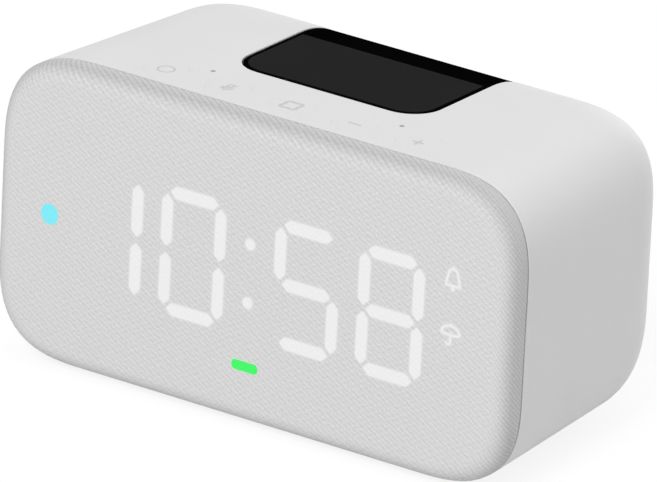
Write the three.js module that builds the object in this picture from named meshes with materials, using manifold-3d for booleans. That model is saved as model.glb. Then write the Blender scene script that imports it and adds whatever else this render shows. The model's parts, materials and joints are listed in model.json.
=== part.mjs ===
// Smart clock: a cloth-fronted table clock with a segment display, five top keys and a loudspeaker inside.
// Millimetres, +Z up, the front faces -Y. The origin is on the table, under the middle of the clock.
// Inside the assembly, y is measured back from the front plane and z up from the underside of the shell.
import * as THREE from 'three';
import { mergeVertices } from 'three/addons/utils/BufferGeometryUtils.js';
import Module from 'manifold-3d';

const wasm = await Module();
wasm.setup();

// Body
const bodyWidth = 120;
const bodyHeight = 61.7;
const bodyDepth = 68.5;
const backWidth = 112.3;
const cornerRadius = 20.8;
const cornerPower = 2.92;
const backRound = 22.3;
const backCorner = 4;
const wall = 2.2;

// Front: cloth over a moulded, perforated cap
const frontRound = 3.6;
const frontDepth = 5.2;
const seamGap = 0.3;
const clothThickness = 0.7;
const clothGap = 0.1;
const grilleThickness = 1.6;
const skirtThickness = 1.6;
const skirtDepth = 5;
const slotWidth = 3;
const slotPitch = 5;
const slotMargin = 1;

// Clearances
const fitGap = 0.3;
const screwGap = 0.15;

// Segment display, measured from the middle of the front
const displaySideMargin = 10;
const displayTopMargin = 13.35;
const displayBottomMargin = 9.05;
const displayCorner = 8;
const displayFlange = 1.8;
const filmThickness = 0.4;
const reflectorDepth = 2.8;
const digitHeight = 26.5;
const digitWidth = 15.2;
const segmentWidth = 2.75;
const segmentGap = 0.6;
const innerDigitX = 13.22;
const digitPitch = 19.38;
const colonDot = 2.6;
const colonSpacing = 11.9;
const statusDotInset = 3.2;
const statusDotSize = 4;
const statusBarInset = 2.8;
const statusBarWidth = 6.5;
const statusBarHeight = 2.4;
const pictogramInset = 4.1;
const pictogramSize = 5;
const pictogramRise = 11.5;

// Keys, switches and microphones along the top
const keyNames = ['action', 'mic_mute', 'alarm', 'volume_down', 'volume_up'];
const keyPitch = 14.62;
const keyInset = 11.56;
const keyDiameter = 9;
const keyTravel = 0.5;
const keyLip = 0.9;
const keyLipThickness = 1;
const keyStemDiameter = 3.6;
const keyStemLength = 1.2;
const pressGap = 0.1;
const switchSize = 6;
const switchHeight = 3.4;
const plungerDiameter = 3.2;
const plungerHeight = 0.6;
const keyBoardMargin = 5;
const micInset = 16.74;
const micHole = 0.9;
const micWidth = 3.8;
const micLength = 3;
const micHeight = 1.1;
const gasketDiameter = 3;
const gasketBore = 1.2;

// Circuit boards and the power inlet
const boardThickness = 1.6;
const mainBoardWidth = 80;
const mainBoardHeight = 38;
const boardClearance = 5.6;
const jackWidth = 10;
const jackHeight = 11;
const jackBore = 6.3;
const jackFloor = 4.3;
const jackPin = 2;
const jackPinSetback = 1;
const inletHole = 10;
const canSize = 20;
const canHeight = 3;
const canMargin = 0.5;

// Black panel that runs from the top over the back
const panelWidth = 44;
const panelFront = 22.3;
const panelCorner = 6.5;
const panelBottom = 17;
const panelRecess = 0.1;
const panelFlange = 3;
const panelFlangeThickness = 1.5;
const padMargin = 0.9;
const padBackMargin = 1;
const padThickness = 0.5;
const padGap = 0.1;

// Inner chassis
const baffleY = 21;
const baffleThickness = 2.4;
const chassisFloor = 1.6;
const postDiameter = 6.4;
const postHeight = 8;
const standoffDiameter = 5.6;
const standoffInset = 5;
const bracketWidth = 5;
const bracketHeight = 2.4;

// Feet and screws
const footProud = 0.8;
const footSink = 0.6;
const footDiameter = 9;
const footChamfer = 0.3;
const footFrontMargin = 4;
const footBackMargin = 4.7;
const screwDiameter = 2.2;
const screwHeadDiameter = 4;
const screwHead = 1;
const screwLength = 8;

// Loudspeaker, on an axis through the middle of the clock
const speakerFlangeRadius = 22;
const speakerFlangeThickness = 1.5;
const basketMouth = 17;
const basketSkin = 1.2;
const basketBackRadius = 13.2;
const basketDepth = 12;
const basketBackPlate = 1.2;
const basketWindow = 8;
const surroundWidth = 2.3;
const surroundThickness = 0.5;
const softGap = 0.2;
const coneSkin = 0.7;
const coneDepth = 6.2;
const coneSetback = 1;
const dustCapRise = 1.4;
const coilRadius = 7.3;
const coilWall = 0.5;
const coilLength = 10.6;
const magneticGap = 0.5;
const topPlateRadius = 12.5;
const topPlateThickness = 2;
const magnetRadius = 14;
const magnetBore = 9;
const magnetThickness = 5;
const yokeThickness = 2;
const spiderThickness = 0.5;
const spiderSetback = 9.5;
const speakerScrewDiameter = 1.6;
const speakerScrewHead = 3;
const speakerScrewLength = 5;

// Cables
const ribbonWidth = 10;
const ribbonThickness = 0.3;
const ribbonRise = 1.4;
const ribbonTail = 5;
const displayRibbonMargin = 3.8;
const keyRibbonMargin = 2.7;
const keyRibbonWidth = 7;
const leadDiameter = 1.2;
const leadSpacing = 3.2;
const leadPlugLength = 3;
const leadPlugWidth = 6;
const tagThickness = 1;

// Facets
const cornerSteps = 8;
const backSteps = 6;
const frontSteps = 4;
const curveSteps = 5;
const rollSteps = 6;
const domeSteps = 3;
const spiderWaves = 2;
const waveSteps = 4;
const rodSides = 12;
const discSides = 20;
const pinSides = 8;

// Levels that follow from the sizes above
const middle = bodyHeight / 2;
const displayHalfWidth = bodyWidth / 2 - displaySideMargin;
const displayAbove = middle - displayTopMargin;
const displayBelow = middle - displayBottomMargin;
const statusBarDrop = displayBelow - statusBarInset;
const statusDotX = statusDotInset - displayHalfWidth;
const pictogramX = displayHalfWidth - pictogramInset;
const backRounding = Math.min(backRound, middle - 2 * backCorner);
const clothBack = frontDepth - seamGap;
const grilleInset = clothThickness + clothGap;
const grilleBack = grilleInset + grilleThickness;
const skirtInset = wall + fitGap;
const skirtBack = frontDepth + skirtDepth;
const filmBack = grilleInset + filmThickness;
const reflectorBack = grilleBack + reflectorDepth;
const displayBoardBack = reflectorBack + boardThickness;
const micX = 1.5 * keyPitch;
const keyLipTop = bodyHeight - wall - fitGap;
const keyLipBottom = keyLipTop - keyLipThickness;
const keyStemBottom = keyLipBottom - keyStemLength;
const plungerTop = keyStemBottom - keyTravel - pressGap;
const switchTop = plungerTop - plungerHeight;
const keyBoardTop = switchTop - switchHeight;
const keyBoardBottom = keyBoardTop - boardThickness;
const keyBoardFront = displayBoardBack + 2 * fitGap;
const speakerFront = baffleY - speakerFlangeThickness;
const keyBoardBack = speakerFront - fitGap;
const keyBoardHalf = 2 * keyPitch + switchSize / 2 + keyBoardMargin;
const baffleBack = baffleY + baffleThickness;
const panelInset = wall + fitGap + panelFlangeThickness;
const padTop = bodyHeight - panelRecess;
const padBase = padTop - padThickness;
const floorFront = skirtBack + fitGap;
const footFrontY = floorFront + footFrontMargin;
const footBackY = bodyDepth - backRounding - footBackMargin;
const floorBack = footBackY + postDiameter / 2;
const floorTop = wall + chassisFloor;
const floorHalf = Math.min(widthAt(floorFront), widthAt(floorBack)) / 2 - cornerRadius;
const footX = floorHalf - footDiameter / 2;
const standoffX = mainBoardWidth / 2 - standoffInset;
const standoffZ = mainBoardHeight / 2 - standoffInset;
const standoffEdge = standoffX - standoffDiameter / 2;
const canX = standoffEdge - canMargin - canSize / 2;
const bracketX = keyBoardHalf - bracketWidth / 2;
const basketEnd = baffleY + basketDepth + basketBackPlate;
const coneFront = speakerFront + coneSetback;
const coneRadius = basketMouth - surroundWidth - 2 * softGap;
const coneNeck = coilRadius + softGap;
const coilFront = coneFront + coneDepth;
const magnetFront = basketEnd + topPlateThickness;
const yokeFront = magnetFront + magnetThickness;
const mainBoardFront = yokeFront + yokeThickness + boardClearance;
const mainBoardBack = mainBoardFront + boardThickness;
const jackBack = bodyDepth - panelInset - fitGap;
const jackBoreFloor = mainBoardBack + jackFloor;
const spiderY = baffleY + spiderSetback;
const speakerScrewRing = (basketMouth + basketSkin + speakerFlangeRadius) / 2;
const spiderOuter = basketInnerAt(spiderY + 2 * spiderThickness) - softGap;
const screwSeat = footSink + screwHead;
const displayRibbonX = ribbonWidth / 2 + displayRibbonMargin + postDiameter / 2 - footX;
const displayRibbonZ = floorTop + ribbonRise;
const keyRibbonEdge = Math.min(bracketX - bracketWidth / 2, standoffEdge);
const keyRibbonX = keyRibbonEdge - keyRibbonMargin - keyRibbonWidth / 2;
const keyRibbonZ = keyBoardBottom - ribbonThickness / 2;
const leadX = -(basketMouth + basketSkin + fitGap + leadDiameter / 2);
const tagFront = baffleBack + fitGap;
const tagBack = tagFront + tagThickness;

const assembly = new THREE.Group();
assembly.position.set(0, -bodyDepth / 2, footProud);

// Solids from three.js geometry

function solidFrom(geometry) {
  const bare = geometry.clone();
  bare.deleteAttribute('normal');
  bare.deleteAttribute('uv');
  const merged = mergeVertices(bare, 1e-4);
  const position = merged.attributes.position;
  const index = merged.index.array;
  const kept = [];
  const a = new THREE.Vector3();
  const b = new THREE.Vector3();
  const c = new THREE.Vector3();
  let volume = 0;
  for (let i = 0; i < index.length; i += 3) {
    const [p, q, r] = [index[i], index[i + 1], index[i + 2]];
    if (p === q || q === r || r === p) continue;
    kept.push([p, q, r]);
    a.fromBufferAttribute(position, p);
    b.fromBufferAttribute(position, q);
    c.fromBufferAttribute(position, r);
    volume += a.dot(b.cross(c));
  }
  const facing = volume < 0 ? kept.map(([p, q, r]) => [p, r, q]) : kept;
  return new wasm.Manifold(new wasm.Mesh({
    numProp: 3,
    vertProperties: new Float32Array(position.array),
    triVerts: new Uint32Array(facing.flat()),
  }));
}

function geometryFrom(solid) {
  const mesh = solid.getMesh();
  const geometry = new THREE.BufferGeometry();
  geometry.setAttribute('position', new THREE.BufferAttribute(new Float32Array(mesh.vertProperties), 3));
  geometry.setIndex(new THREE.BufferAttribute(new Uint32Array(mesh.triVerts), 1));
  geometry.computeVertexNormals();
  return geometry;
}

function join(first, ...others) {
  return others.reduce((sum, other) => sum.add(other), first);
}

function cut(first, ...others) {
  return others.reduce((rest, other) => rest.subtract(other), first);
}

function block(x0, x1, y0, y1, z0, z1) {
  const geometry = new THREE.BoxGeometry(x1 - x0, y1 - y0, z1 - z0);
  geometry.translate((x0 + x1) / 2, (y0 + y1) / 2, (z0 + z1) / 2);
  return solidFrom(geometry);
}

// A block that is centred on x and z, as seen from the front
function tile(x, z, width, height, y0, y1) {
  return block(x - width / 2, x + width / 2, y0, y1, z - height / 2, z + height / 2);
}

function rodAlongY(x, z, y0, y1, diameter, sides = rodSides) {
  const geometry = new THREE.CylinderGeometry(diameter / 2, diameter / 2, y1 - y0, sides);
  geometry.translate(x, (y0 + y1) / 2, z);
  return solidFrom(geometry);
}

function rodAlongZ(x, y, z0, z1, diameter, sides = rodSides) {
  const geometry = new THREE.CylinderGeometry(diameter / 2, diameter / 2, z1 - z0, sides);
  geometry.rotateX(Math.PI / 2);
  geometry.translate(x, y, (z0 + z1) / 2);
  return solidFrom(geometry);
}

// A profile of [radius, y] points turned about the speaker's axis
function turned(profile, sides = discSides) {
  const closed = [...profile, profile[0]].map(([radius, y]) => new THREE.Vector2(radius, y));
  const geometry = new THREE.LatheGeometry(closed, sides);
  geometry.translate(0, 0, middle);
  return solidFrom(geometry);
}

function extruded(shape, depth) {
  return new THREE.ExtrudeGeometry(shape, { depth, bevelEnabled: false, curveSegments: curveSteps });
}

// A shape drawn in front view (x, z), extruded back from y0 to y1
function frontPrism(shape, y0, y1) {
  const geometry = extruded(shape, y1 - y0);
  geometry.rotateX(Math.PI / 2);
  geometry.translate(0, y1, 0);
  return solidFrom(geometry);
}

// A shape drawn in plan (x, y), extruded up from z0 to z1
function planPrism(shape, z0, z1) {
  const geometry = extruded(shape, z1 - z0);
  geometry.translate(0, 0, z0);
  return solidFrom(geometry);
}

function roundedRectangle(x0, x1, v0, v1, radius) {
  const shape = new THREE.Shape();
  shape.moveTo(x0 + radius, v0);
  shape.lineTo(x1 - radius, v0);
  shape.absarc(x1 - radius, v0 + radius, radius, -Math.PI / 2, 0);
  shape.lineTo(x1, v1 - radius);
  shape.absarc(x1 - radius, v1 - radius, radius, 0, Math.PI / 2);
  shape.lineTo(x0 + radius, v1);
  shape.absarc(x0 + radius, v1 - radius, radius, Math.PI / 2, Math.PI);
  shape.lineTo(x0, v0 + radius);
  shape.absarc(x0 + radius, v0 + radius, radius, Math.PI, 1.5 * Math.PI);
  return shape;
}

function polygon(points) {
  return new THREE.Shape(points.map(([u, v]) => new THREE.Vector2(u, v)));
}

// Sections of the body

// The sides draw in slightly from the front rim to where the back starts to round
function widthAt(y) {
  const share = (y - frontDepth) / (bodyDepth - backRounding - frontDepth);
  return THREE.MathUtils.lerp(bodyWidth, backWidth, THREE.MathUtils.clamp(share, 0, 1));
}

// One section of the body: a rounded rectangle with full corners, moved in by inset
function section(y, inset, corner) {
  const radius = Math.max(corner, backCorner / 2);
  const reachX = widthAt(y) / 2 - inset - radius;
  const reachZ = middle - inset - radius;
  const ring = [];
  for (const [ux, uz] of [[1, 1], [-1, 1], [-1, -1], [1, -1]]) {
    for (let step = 0; step <= cornerSteps; step += 1) {
      const turn = (ux * uz > 0 ? step : cornerSteps - step) / cornerSteps * Math.PI / 2;
      const across = radius * Math.cos(turn) ** (2 / cornerPower);
      const along = radius * Math.sin(turn) ** (2 / cornerPower);
      ring.push(new THREE.Vector3(ux * (reachX + across), y, middle + uz * (reachZ + along)));
    }
  }
  return ring;
}

function loft(rings) {
  const count = rings[0].length;
  const points = rings.flat();
  const index = [];
  for (let row = 0; row + 1 < rings.length; row += 1) {
    for (let k = 0; k < count; k += 1) {
      const a = row * count + k;
      const b = row * count + (k + 1) % count;
      index.push(a, b, a + count, b, b + count, a + count);
    }
  }
  for (const [row, order] of [[0, 1], [rings.length - 1, -1]]) {
    const centre = points.length;
    points.push(new THREE.Vector3(0, rings[row][0].y, middle));
    for (let k = 0; k < count; k += 1) {
      const a = row * count + k;
      const b = row * count + (k + 1) % count;
      index.push(...(order > 0 ? [centre, b, a] : [centre, a, b]));
    }
  }
  const geometry = new THREE.BufferGeometry().setFromPoints(points);
  geometry.setIndex(index);
  return solidFrom(geometry);
}

// The body behind the front rim, moved in by inset all over, starting at y0
function bodyLoft(inset, y0 = frontDepth) {
  const round = backRounding - inset;
  const rings = [section(y0, inset, cornerRadius - inset)];
  for (let step = 0; step <= backSteps; step += 1) {
    const turn = step / backSteps * Math.PI / 2;
    const draw = 1 - Math.cos(turn);
    const corner = THREE.MathUtils.lerp(cornerRadius - inset, backCorner, draw);
    const y = bodyDepth - backRounding + round * Math.sin(turn);
    rings.push(section(y, inset + round * draw, corner));
  }
  return loft(rings);
}

// The cushion-edged front, moved in by inset all over, ending at y1
function frontLoft(inset, y1) {
  const round = frontRound - inset;
  const rings = [];
  for (let step = 0; step <= frontSteps; step += 1) {
    const turn = step / frontSteps * Math.PI / 2;
    const draw = inset + round * (1 - Math.sin(turn));
    rings.push(section(inset + round * (1 - Math.cos(turn)), draw, cornerRadius - draw));
  }
  rings.push(section(y1, inset, cornerRadius - inset));
  return loft(rings);
}

// A ring of wall between two insets, from y0 to y1
function sleeve(outer, inner, y0, y1) {
  const outside = loft([section(y0, outer, cornerRadius - outer), section(y1, outer, cornerRadius - outer)]);
  const inside = loft([
    section(y0 - 1, inner, cornerRadius - inner),
    section(y0, inner, cornerRadius - inner),
    section(y1, inner, cornerRadius - inner),
    section(y1 + 1, inner, cornerRadius - inner),
  ]);
  return cut(outside, inside);
}

// Materials

function finish(color, roughness, metalness = 0) {
  return { color, roughness, metalness };
}

const whitePlastic = finish(0xe4e4e4, 0.55);
const cloth = finish(0xd6d6d6, 0.95);
const darkPlastic = finish(0x2b2b2c, 0.6);
const blackPanel = finish(0x161616, 0.45);
const padGrey = finish(0x272727, 0.8);
const milkyFilm = finish(0xf2f2f2, 0.4);
const boardGreen = finish(0x1f5a3c, 0.5);
const steel = finish(0xb4b6b9, 0.3, 1);
const ferrite = finish(0x2a2a2c, 0.8);
const rubber = finish(0x3a3a3a, 0.9);
const paper = finish(0x33312e, 0.9);
const copper = finish(0xb87333, 0.35, 1);
const ribbonFilm = finish(0xe8e4d8, 0.5);
const jackPlastic = finish(0x1a1a1a, 0.5);

function piece(name, solid, look) {
  const mesh = new THREE.Mesh(geometryFrom(solid), new THREE.MeshStandardMaterial(look));
  mesh.name = name;
  assembly.add(mesh);
}

// Places of what repeats

const keyXs = keyNames.map((name, k) => (k - (keyNames.length - 1) / 2) * keyPitch);
const sides = [['left', -1], ['right', 1]];
const levels = [['lower', -1], ['upper', 1]];
const microphones = sides.map(([label, sign]) => ({ label, x: sign * micX }));
const footPlaces = [['front', footFrontY], ['back', footBackY]].flatMap(
  ([end, y]) => sides.map(([side, sign]) => ({ label: `${end}_${side}`, x: sign * footX, y })));

// Four places in front view, as far from the middle as reachX and reachZ
function fourCorners(reachX, reachZ) {
  return levels.flatMap(([level, up]) => sides.map(
    ([side, sign]) => ({ label: `${level}_${side}`, x: sign * reachX, z: middle + up * reachZ })));
}

const boardCorners = fourCorners(standoffX, standoffZ);
const speakerCorners = fourCorners(speakerScrewRing * Math.SQRT1_2, speakerScrewRing * Math.SQRT1_2);

// Rear panel outline: rounded in plan at its front end and in back view at its lower end

function panelSpace(grow) {
  const half = panelWidth / 2 + grow;
  const radius = panelCorner + grow;
  const past = bodyDepth + panelWidth;
  const above = bodyHeight + panelWidth;
  const plan = roundedRectangle(-half, half, panelFront - grow, past, radius);
  const back = roundedRectangle(-half, half, panelBottom - grow, above, radius);
  return planPrism(plan, 0, above).intersect(frontPrism(back, 0, past));
}

// Shell and panel

function bodyShell() {
  const keyHole = keyDiameter + 2 * fitGap;
  let shell = cut(bodyLoft(0), bodyLoft(wall, frontDepth - 1), panelSpace(fitGap));
  for (const x of keyXs) {
    shell = cut(shell, rodAlongZ(x, keyInset, keyLipTop, bodyHeight + 1, keyHole, discSides));
  }
  for (const { x } of microphones) {
    shell = cut(shell, rodAlongZ(x, micInset, keyLipTop, bodyHeight + 1, micHole, pinSides));
  }
  for (const { x, y } of footPlaces) {
    shell = cut(
      shell,
      rodAlongZ(x, y, -1, footSink, footDiameter + 2 * fitGap, discSides),
      rodAlongZ(x, y, 0, screwSeat, screwHeadDiameter + 2 * screwGap),
      rodAlongZ(x, y, 0, wall + 1, screwDiameter + 2 * screwGap),
    );
  }
  return shell;
}

function rearPanel() {
  const inside = bodyLoft(panelInset, frontDepth - 1);
  const face = cut(bodyLoft(panelRecess), inside).intersect(panelSpace(0));
  const flange = cut(bodyLoft(wall + fitGap), inside).intersect(panelSpace(panelFlange));
  const inlet = rodAlongY(0, middle, mainBoardBack, bodyDepth + 1, inletHole, discSides);
  return cut(join(face, flange), inlet, padSpace(padGap, bodyHeight));
}

// The grey pad let into the flat top of the panel, up to just before the back starts to round
function padSpace(grow, level) {
  const half = panelWidth / 2 - padMargin + grow;
  const radius = panelCorner - padMargin + grow;
  const front = panelFront + padMargin - grow;
  const back = bodyDepth - backRounding - padBackMargin + grow;
  const rounded = planPrism(roundedRectangle(-half, half, front, bodyDepth, radius), padBase, level);
  return rounded.intersect(block(-half, half, front, back, padBase, level));
}

// Front

function displayOutline(grow) {
  const half = displayHalfWidth + grow;
  const low = middle - displayBelow - grow;
  const high = middle + displayAbove + grow;
  return roundedRectangle(-half, half, low, high, displayCorner + grow);
}

function fabricCover() {
  return cut(frontLoft(0, clothBack), frontLoft(clothThickness, clothBack + 1));
}

function grilleFrame() {
  const cap = cut(frontLoft(grilleInset, clothBack), frontLoft(grilleBack, clothBack + 1));
  const skirt = sleeve(skirtInset, skirtInset + skirtThickness, grilleBack - grilleThickness / 2, skirtBack);
  const notchHalf = keyBoardHalf + fitGap;
  const notchLow = keyBoardBottom - bracketHeight - fitGap;
  const keyNotch = block(-notchHalf, notchHalf, grilleBack, skirtBack + 1, notchLow, bodyHeight);
  const displayWindow = frontPrism(displayOutline(fitGap), 0, grilleBack + 1);
  let frame = cut(join(cap, skirt), keyNotch, displayWindow);
  const slotTop = bodyHeight - frontRound - slotMargin;
  const slotLow = middle + displayAbove + displayFlange + slotMargin;
  const slotSpan = bodyWidth - 2 * cornerRadius;
  const count = Math.floor(slotSpan / slotPitch);
  for (let k = 0; k < count; k += 1) {
    const x = (k - (count - 1) / 2) * slotPitch;
    frame = cut(frame, tile(x, (slotTop + slotLow) / 2, slotWidth, slotTop - slotLow, 0, grilleBack + 1));
  }
  return frame;
}

// Segments of one digit, from the digit's centre
function digitSegments(x) {
  const row = (digitHeight - segmentWidth) / 2;
  const column = (digitWidth - segmentWidth) / 2;
  const across = digitWidth - segmentWidth - 2 * segmentGap;
  const upright = row - 2 * segmentGap;
  const bars = [row, 0, -row].map((z) => ({ x, z, length: across, turn: false }));
  const posts = [[-1, 1], [1, 1], [-1, -1], [1, -1]].map(
    ([side, up]) => ({ x: x + side * column, z: up * row / 2, length: upright, turn: true }));
  return [...bars, ...posts];
}

function segmentCell({ x, z, length, turn }, y0, y1) {
  const half = segmentWidth / 2;
  const tip = length / 2;
  const flat = tip - half;
  const hexagon = [[-tip, 0], [-flat, -half], [flat, -half], [tip, 0], [flat, half], [-flat, half]];
  const placed = hexagon.map(([u, v]) => (turn ? [x - v, middle + z + u] : [x + u, middle + z + v]));
  return frontPrism(polygon(placed), y0, y1);
}

function displayReflector() {
  const front = frontPrism(displayOutline(0), filmBack, grilleBack + reflectorDepth / 2);
  const flange = frontPrism(displayOutline(displayFlange), grilleBack, reflectorBack);
  const through = [0, reflectorBack + 1];
  const cells = [];
  for (const x of [-innerDigitX - digitPitch, -innerDigitX, innerDigitX, innerDigitX + digitPitch]) {
    cells.push(...digitSegments(x).map((segment) => segmentCell(segment, ...through)));
  }
  for (const up of [-1, 1]) {
    cells.push(rodAlongY(0, middle + up * colonSpacing / 2, ...through, colonDot, pinSides));
  }
  cells.push(rodAlongY(statusDotX, middle, ...through, statusDotSize));
  cells.push(tile(0, middle - statusBarDrop, statusBarWidth, statusBarHeight, ...through));
  for (const rise of [0, pictogramRise]) {
    cells.push(tile(pictogramX, middle + rise, pictogramSize, pictogramSize, ...through));
  }
  return cut(join(front, flange), ...cells);
}

// Keys and what is under them

function keySolid(x) {
  return join(
    rodAlongZ(x, keyInset, keyLipBottom, bodyHeight, keyDiameter, discSides),
    rodAlongZ(x, keyInset, keyLipBottom, keyLipTop, keyDiameter + 2 * keyLip, discSides),
    rodAlongZ(x, keyInset, keyStemBottom, keyLipTop, keyStemDiameter),
  );
}

function switchSolid(x) {
  const half = switchSize / 2;
  return join(
    block(x - half, x + half, keyInset - half, keyInset + half, keyBoardTop, switchTop),
    rodAlongZ(x, keyInset, keyBoardTop + switchHeight / 2, plungerTop, plungerDiameter),
  );
}

function microphoneSolid(x) {
  const y0 = micInset - micLength / 2;
  return block(x - micWidth / 2, x + micWidth / 2, y0, y0 + micLength, keyBoardTop, keyBoardTop + micHeight);
}

function gasketSolid(x) {
  const base = keyBoardTop + micHeight;
  return cut(
    rodAlongZ(x, micInset, base, keyLipTop, gasketDiameter),
    rodAlongZ(x, micInset, base - 1, keyLipTop + 1, gasketBore, pinSides),
  );
}

// Chassis

function innerChassis() {
  const inset = wall + fitGap;
  const baffle = loft([baffleY, baffleBack].map((y) => section(y, inset, cornerRadius - inset)));
  const through = [baffleY - 1, baffleBack + 1];
  const inBaffle = baffleY + baffleThickness / 2;
  let chassis = join(baffle, block(-floorHalf, floorHalf, floorFront, floorBack, wall, floorTop));
  for (const { x, y } of footPlaces) {
    chassis = join(chassis, rodAlongZ(x, y, wall, floorTop + postHeight, postDiameter));
  }
  for (const { x, z } of boardCorners) {
    chassis = join(chassis, rodAlongY(x, z, inBaffle, mainBoardFront, standoffDiameter));
  }
  for (const [, sign] of sides) {
    const x0 = sign * bracketX - bracketWidth / 2;
    const z0 = keyBoardBottom - bracketHeight;
    chassis = join(chassis, block(x0, x0 + bracketWidth, keyBoardFront, inBaffle, z0, keyBoardBottom));
  }
  const cuts = [rodAlongY(0, middle, ...through, 2 * (basketMouth + basketSkin + fitGap), discSides)];
  for (const { x, z } of speakerCorners) {
    cuts.push(rodAlongY(x, z, ...through, speakerScrewDiameter + 2 * screwGap, pinSides));
  }
  for (const { x, y } of footPlaces) {
    cuts.push(rodAlongZ(x, y, 0, screwSeat + screwLength + fitGap, screwDiameter + 2 * screwGap));
  }
  for (const { x, z } of boardCorners) {
    const tip = mainBoardBack - screwLength - fitGap;
    cuts.push(rodAlongY(x, z, tip, mainBoardBack, screwDiameter + 2 * screwGap));
  }
  const slot = ribbonThickness + 2 * fitGap;
  const panelHalf = panelWidth / 2 + panelFlange + fitGap;
  cuts.push(
    tile(displayRibbonX, displayRibbonZ, ribbonWidth + 2 * fitGap, slot, ...through),
    tile(keyRibbonX, keyRibbonZ, keyRibbonWidth + 2 * fitGap, slot, ...through),
    block(-panelHalf, panelHalf, ...through, bodyHeight - panelInset - fitGap, bodyHeight),
  );
  return cut(chassis, ...cuts);
}

// Loudspeaker

function speakerBasket() {
  let basket = turned([
    [basketMouth, speakerFront],
    [speakerFlangeRadius, speakerFront],
    [speakerFlangeRadius, baffleY],
    [basketMouth + basketSkin, baffleY],
    [basketBackRadius, baffleY + basketDepth],
    [basketBackRadius, basketEnd],
    [coilRadius + 2 * magneticGap, basketEnd],
    [coilRadius + 2 * magneticGap, baffleY + basketDepth],
    [basketBackRadius - basketSkin, baffleY + basketDepth],
    [basketMouth, baffleY],
  ]);
  const tagRoot = -basketInnerAt(tagBack);
  const tagEnd = leadX - leadDiameter;
  const tagHeight = 2 * leadSpacing;
  const tag = tile((tagRoot + tagEnd) / 2, middle, tagRoot - tagEnd, tagHeight, tagFront, tagBack);
  basket = join(basket, tag);
  for (const turn of [Math.PI / 4, -Math.PI / 4]) {
    const window = new THREE.BoxGeometry(2 * speakerFlangeRadius, basketDepth / 2, basketWindow);
    window.rotateY(turn);
    window.translate(0, baffleY + basketDepth / 2, middle);
    basket = cut(basket, solidFrom(window));
  }
  const screwHole = speakerScrewDiameter + 2 * screwGap;
  for (const { x, z } of speakerCorners) {
    basket = cut(basket, rodAlongY(x, z, speakerFront - 1, baffleY + 1, screwHole, pinSides));
  }
  return basket;
}

function basketInnerAt(y) {
  return THREE.MathUtils.lerp(basketMouth, basketBackRadius - basketSkin, (y - baffleY) / basketDepth);
}

// Even shares from 0 to 1
function evenSteps(count) {
  return Array.from({ length: count + 1 }, (unused, k) => k / count);
}

// A soft half roll between two radii that bulges forward from base
function halfRoll(inner, outer, base, thickness) {
  const centre = (inner + outer) / 2;
  const reach = (outer - inner) / 2;
  const steps = evenSteps(rollSteps).map((share) => share * Math.PI);
  const arc = (radius, turns) => turns.map(
    (turn) => [centre - radius * Math.cos(turn), base - radius * Math.sin(turn)]);
  return turned([...arc(reach, steps), ...arc(reach - thickness, [...steps].reverse())]);
}

function dustCap() {
  const radius = coilRadius - softGap;
  const rim = coilFront - softGap;
  const dome = (base) => evenSteps(domeSteps).map(
    (share) => [radius * share, base - dustCapRise * (1 - share * share)]);
  return turned([...dome(rim - coneSkin), ...dome(rim).reverse()]);
}

function corrugatedDisc(inner, outer, y, thickness) {
  const wave = (share) => thickness * Math.sin(share * spiderWaves * 2 * Math.PI);
  const line = (offset) => evenSteps(waveSteps * spiderWaves).map(
    (share) => [THREE.MathUtils.lerp(inner, outer, share), y + offset + wave(share)]);
  return turned([...line(-thickness / 2), ...line(thickness / 2).reverse()]);
}

function speakerCone() {
  return turned([
    [coneRadius, coneFront],
    [coneRadius, coneFront + coneSkin],
    [coneNeck, coneFront + coneDepth + coneSkin],
    [coneNeck, coneFront + coneDepth - coneSkin],
  ]);
}

// A plain ring about the speaker's axis
function ringSolid(inner, outer, y0, y1) {
  return turned([[inner, y0], [outer, y0], [outer, y1], [inner, y1]]);
}

function speakerYoke() {
  const pole = coilRadius - coilWall - magneticGap;
  return turned([
    [0, basketEnd],
    [pole, basketEnd],
    [pole, yokeFront],
    [topPlateRadius, yokeFront],
    [topPlateRadius, yokeFront + yokeThickness],
    [0, yokeFront + yokeThickness],
  ]);
}

// Boards, inlet and cables

function mainBoard() {
  const board = tile(0, middle, mainBoardWidth, mainBoardHeight, mainBoardFront, mainBoardBack);
  const holes = boardCorners.map(
    ({ x, z }) => rodAlongY(x, z, mainBoardFront - 1, mainBoardBack + 1, screwDiameter + 2 * screwGap));
  return cut(board, ...holes);
}

function dcJack() {
  const body = tile(0, middle, jackWidth, jackHeight, mainBoardBack, jackBack);
  const bore = rodAlongY(0, middle, jackBoreFloor, jackBack + 1, jackBore, discSides);
  const pin = rodAlongY(0, middle, jackBoreFloor - 1, jackBack - jackPinSetback, jackPin, pinSides);
  return join(cut(body, bore), pin);
}

// From the display board down to the floor, back through the baffle and up the main board
function displayRibbon() {
  const x0 = displayRibbonX - ribbonWidth / 2;
  const x1 = displayRibbonX + ribbonWidth / 2;
  const z0 = displayRibbonZ - ribbonThickness / 2;
  const z1 = displayRibbonZ + ribbonThickness / 2;
  const displayTail = middle - displayBelow - displayFlange + ribbonTail;
  const mainTail = middle - mainBoardHeight / 2 + ribbonTail;
  return join(
    block(x0, x1, displayBoardBack, displayBoardBack + ribbonThickness, z0, displayTail),
    block(x0, x1, displayBoardBack, mainBoardFront, z0, z1),
    block(x0, x1, mainBoardFront - ribbonThickness, mainBoardFront, z0, mainTail),
  );
}

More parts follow.
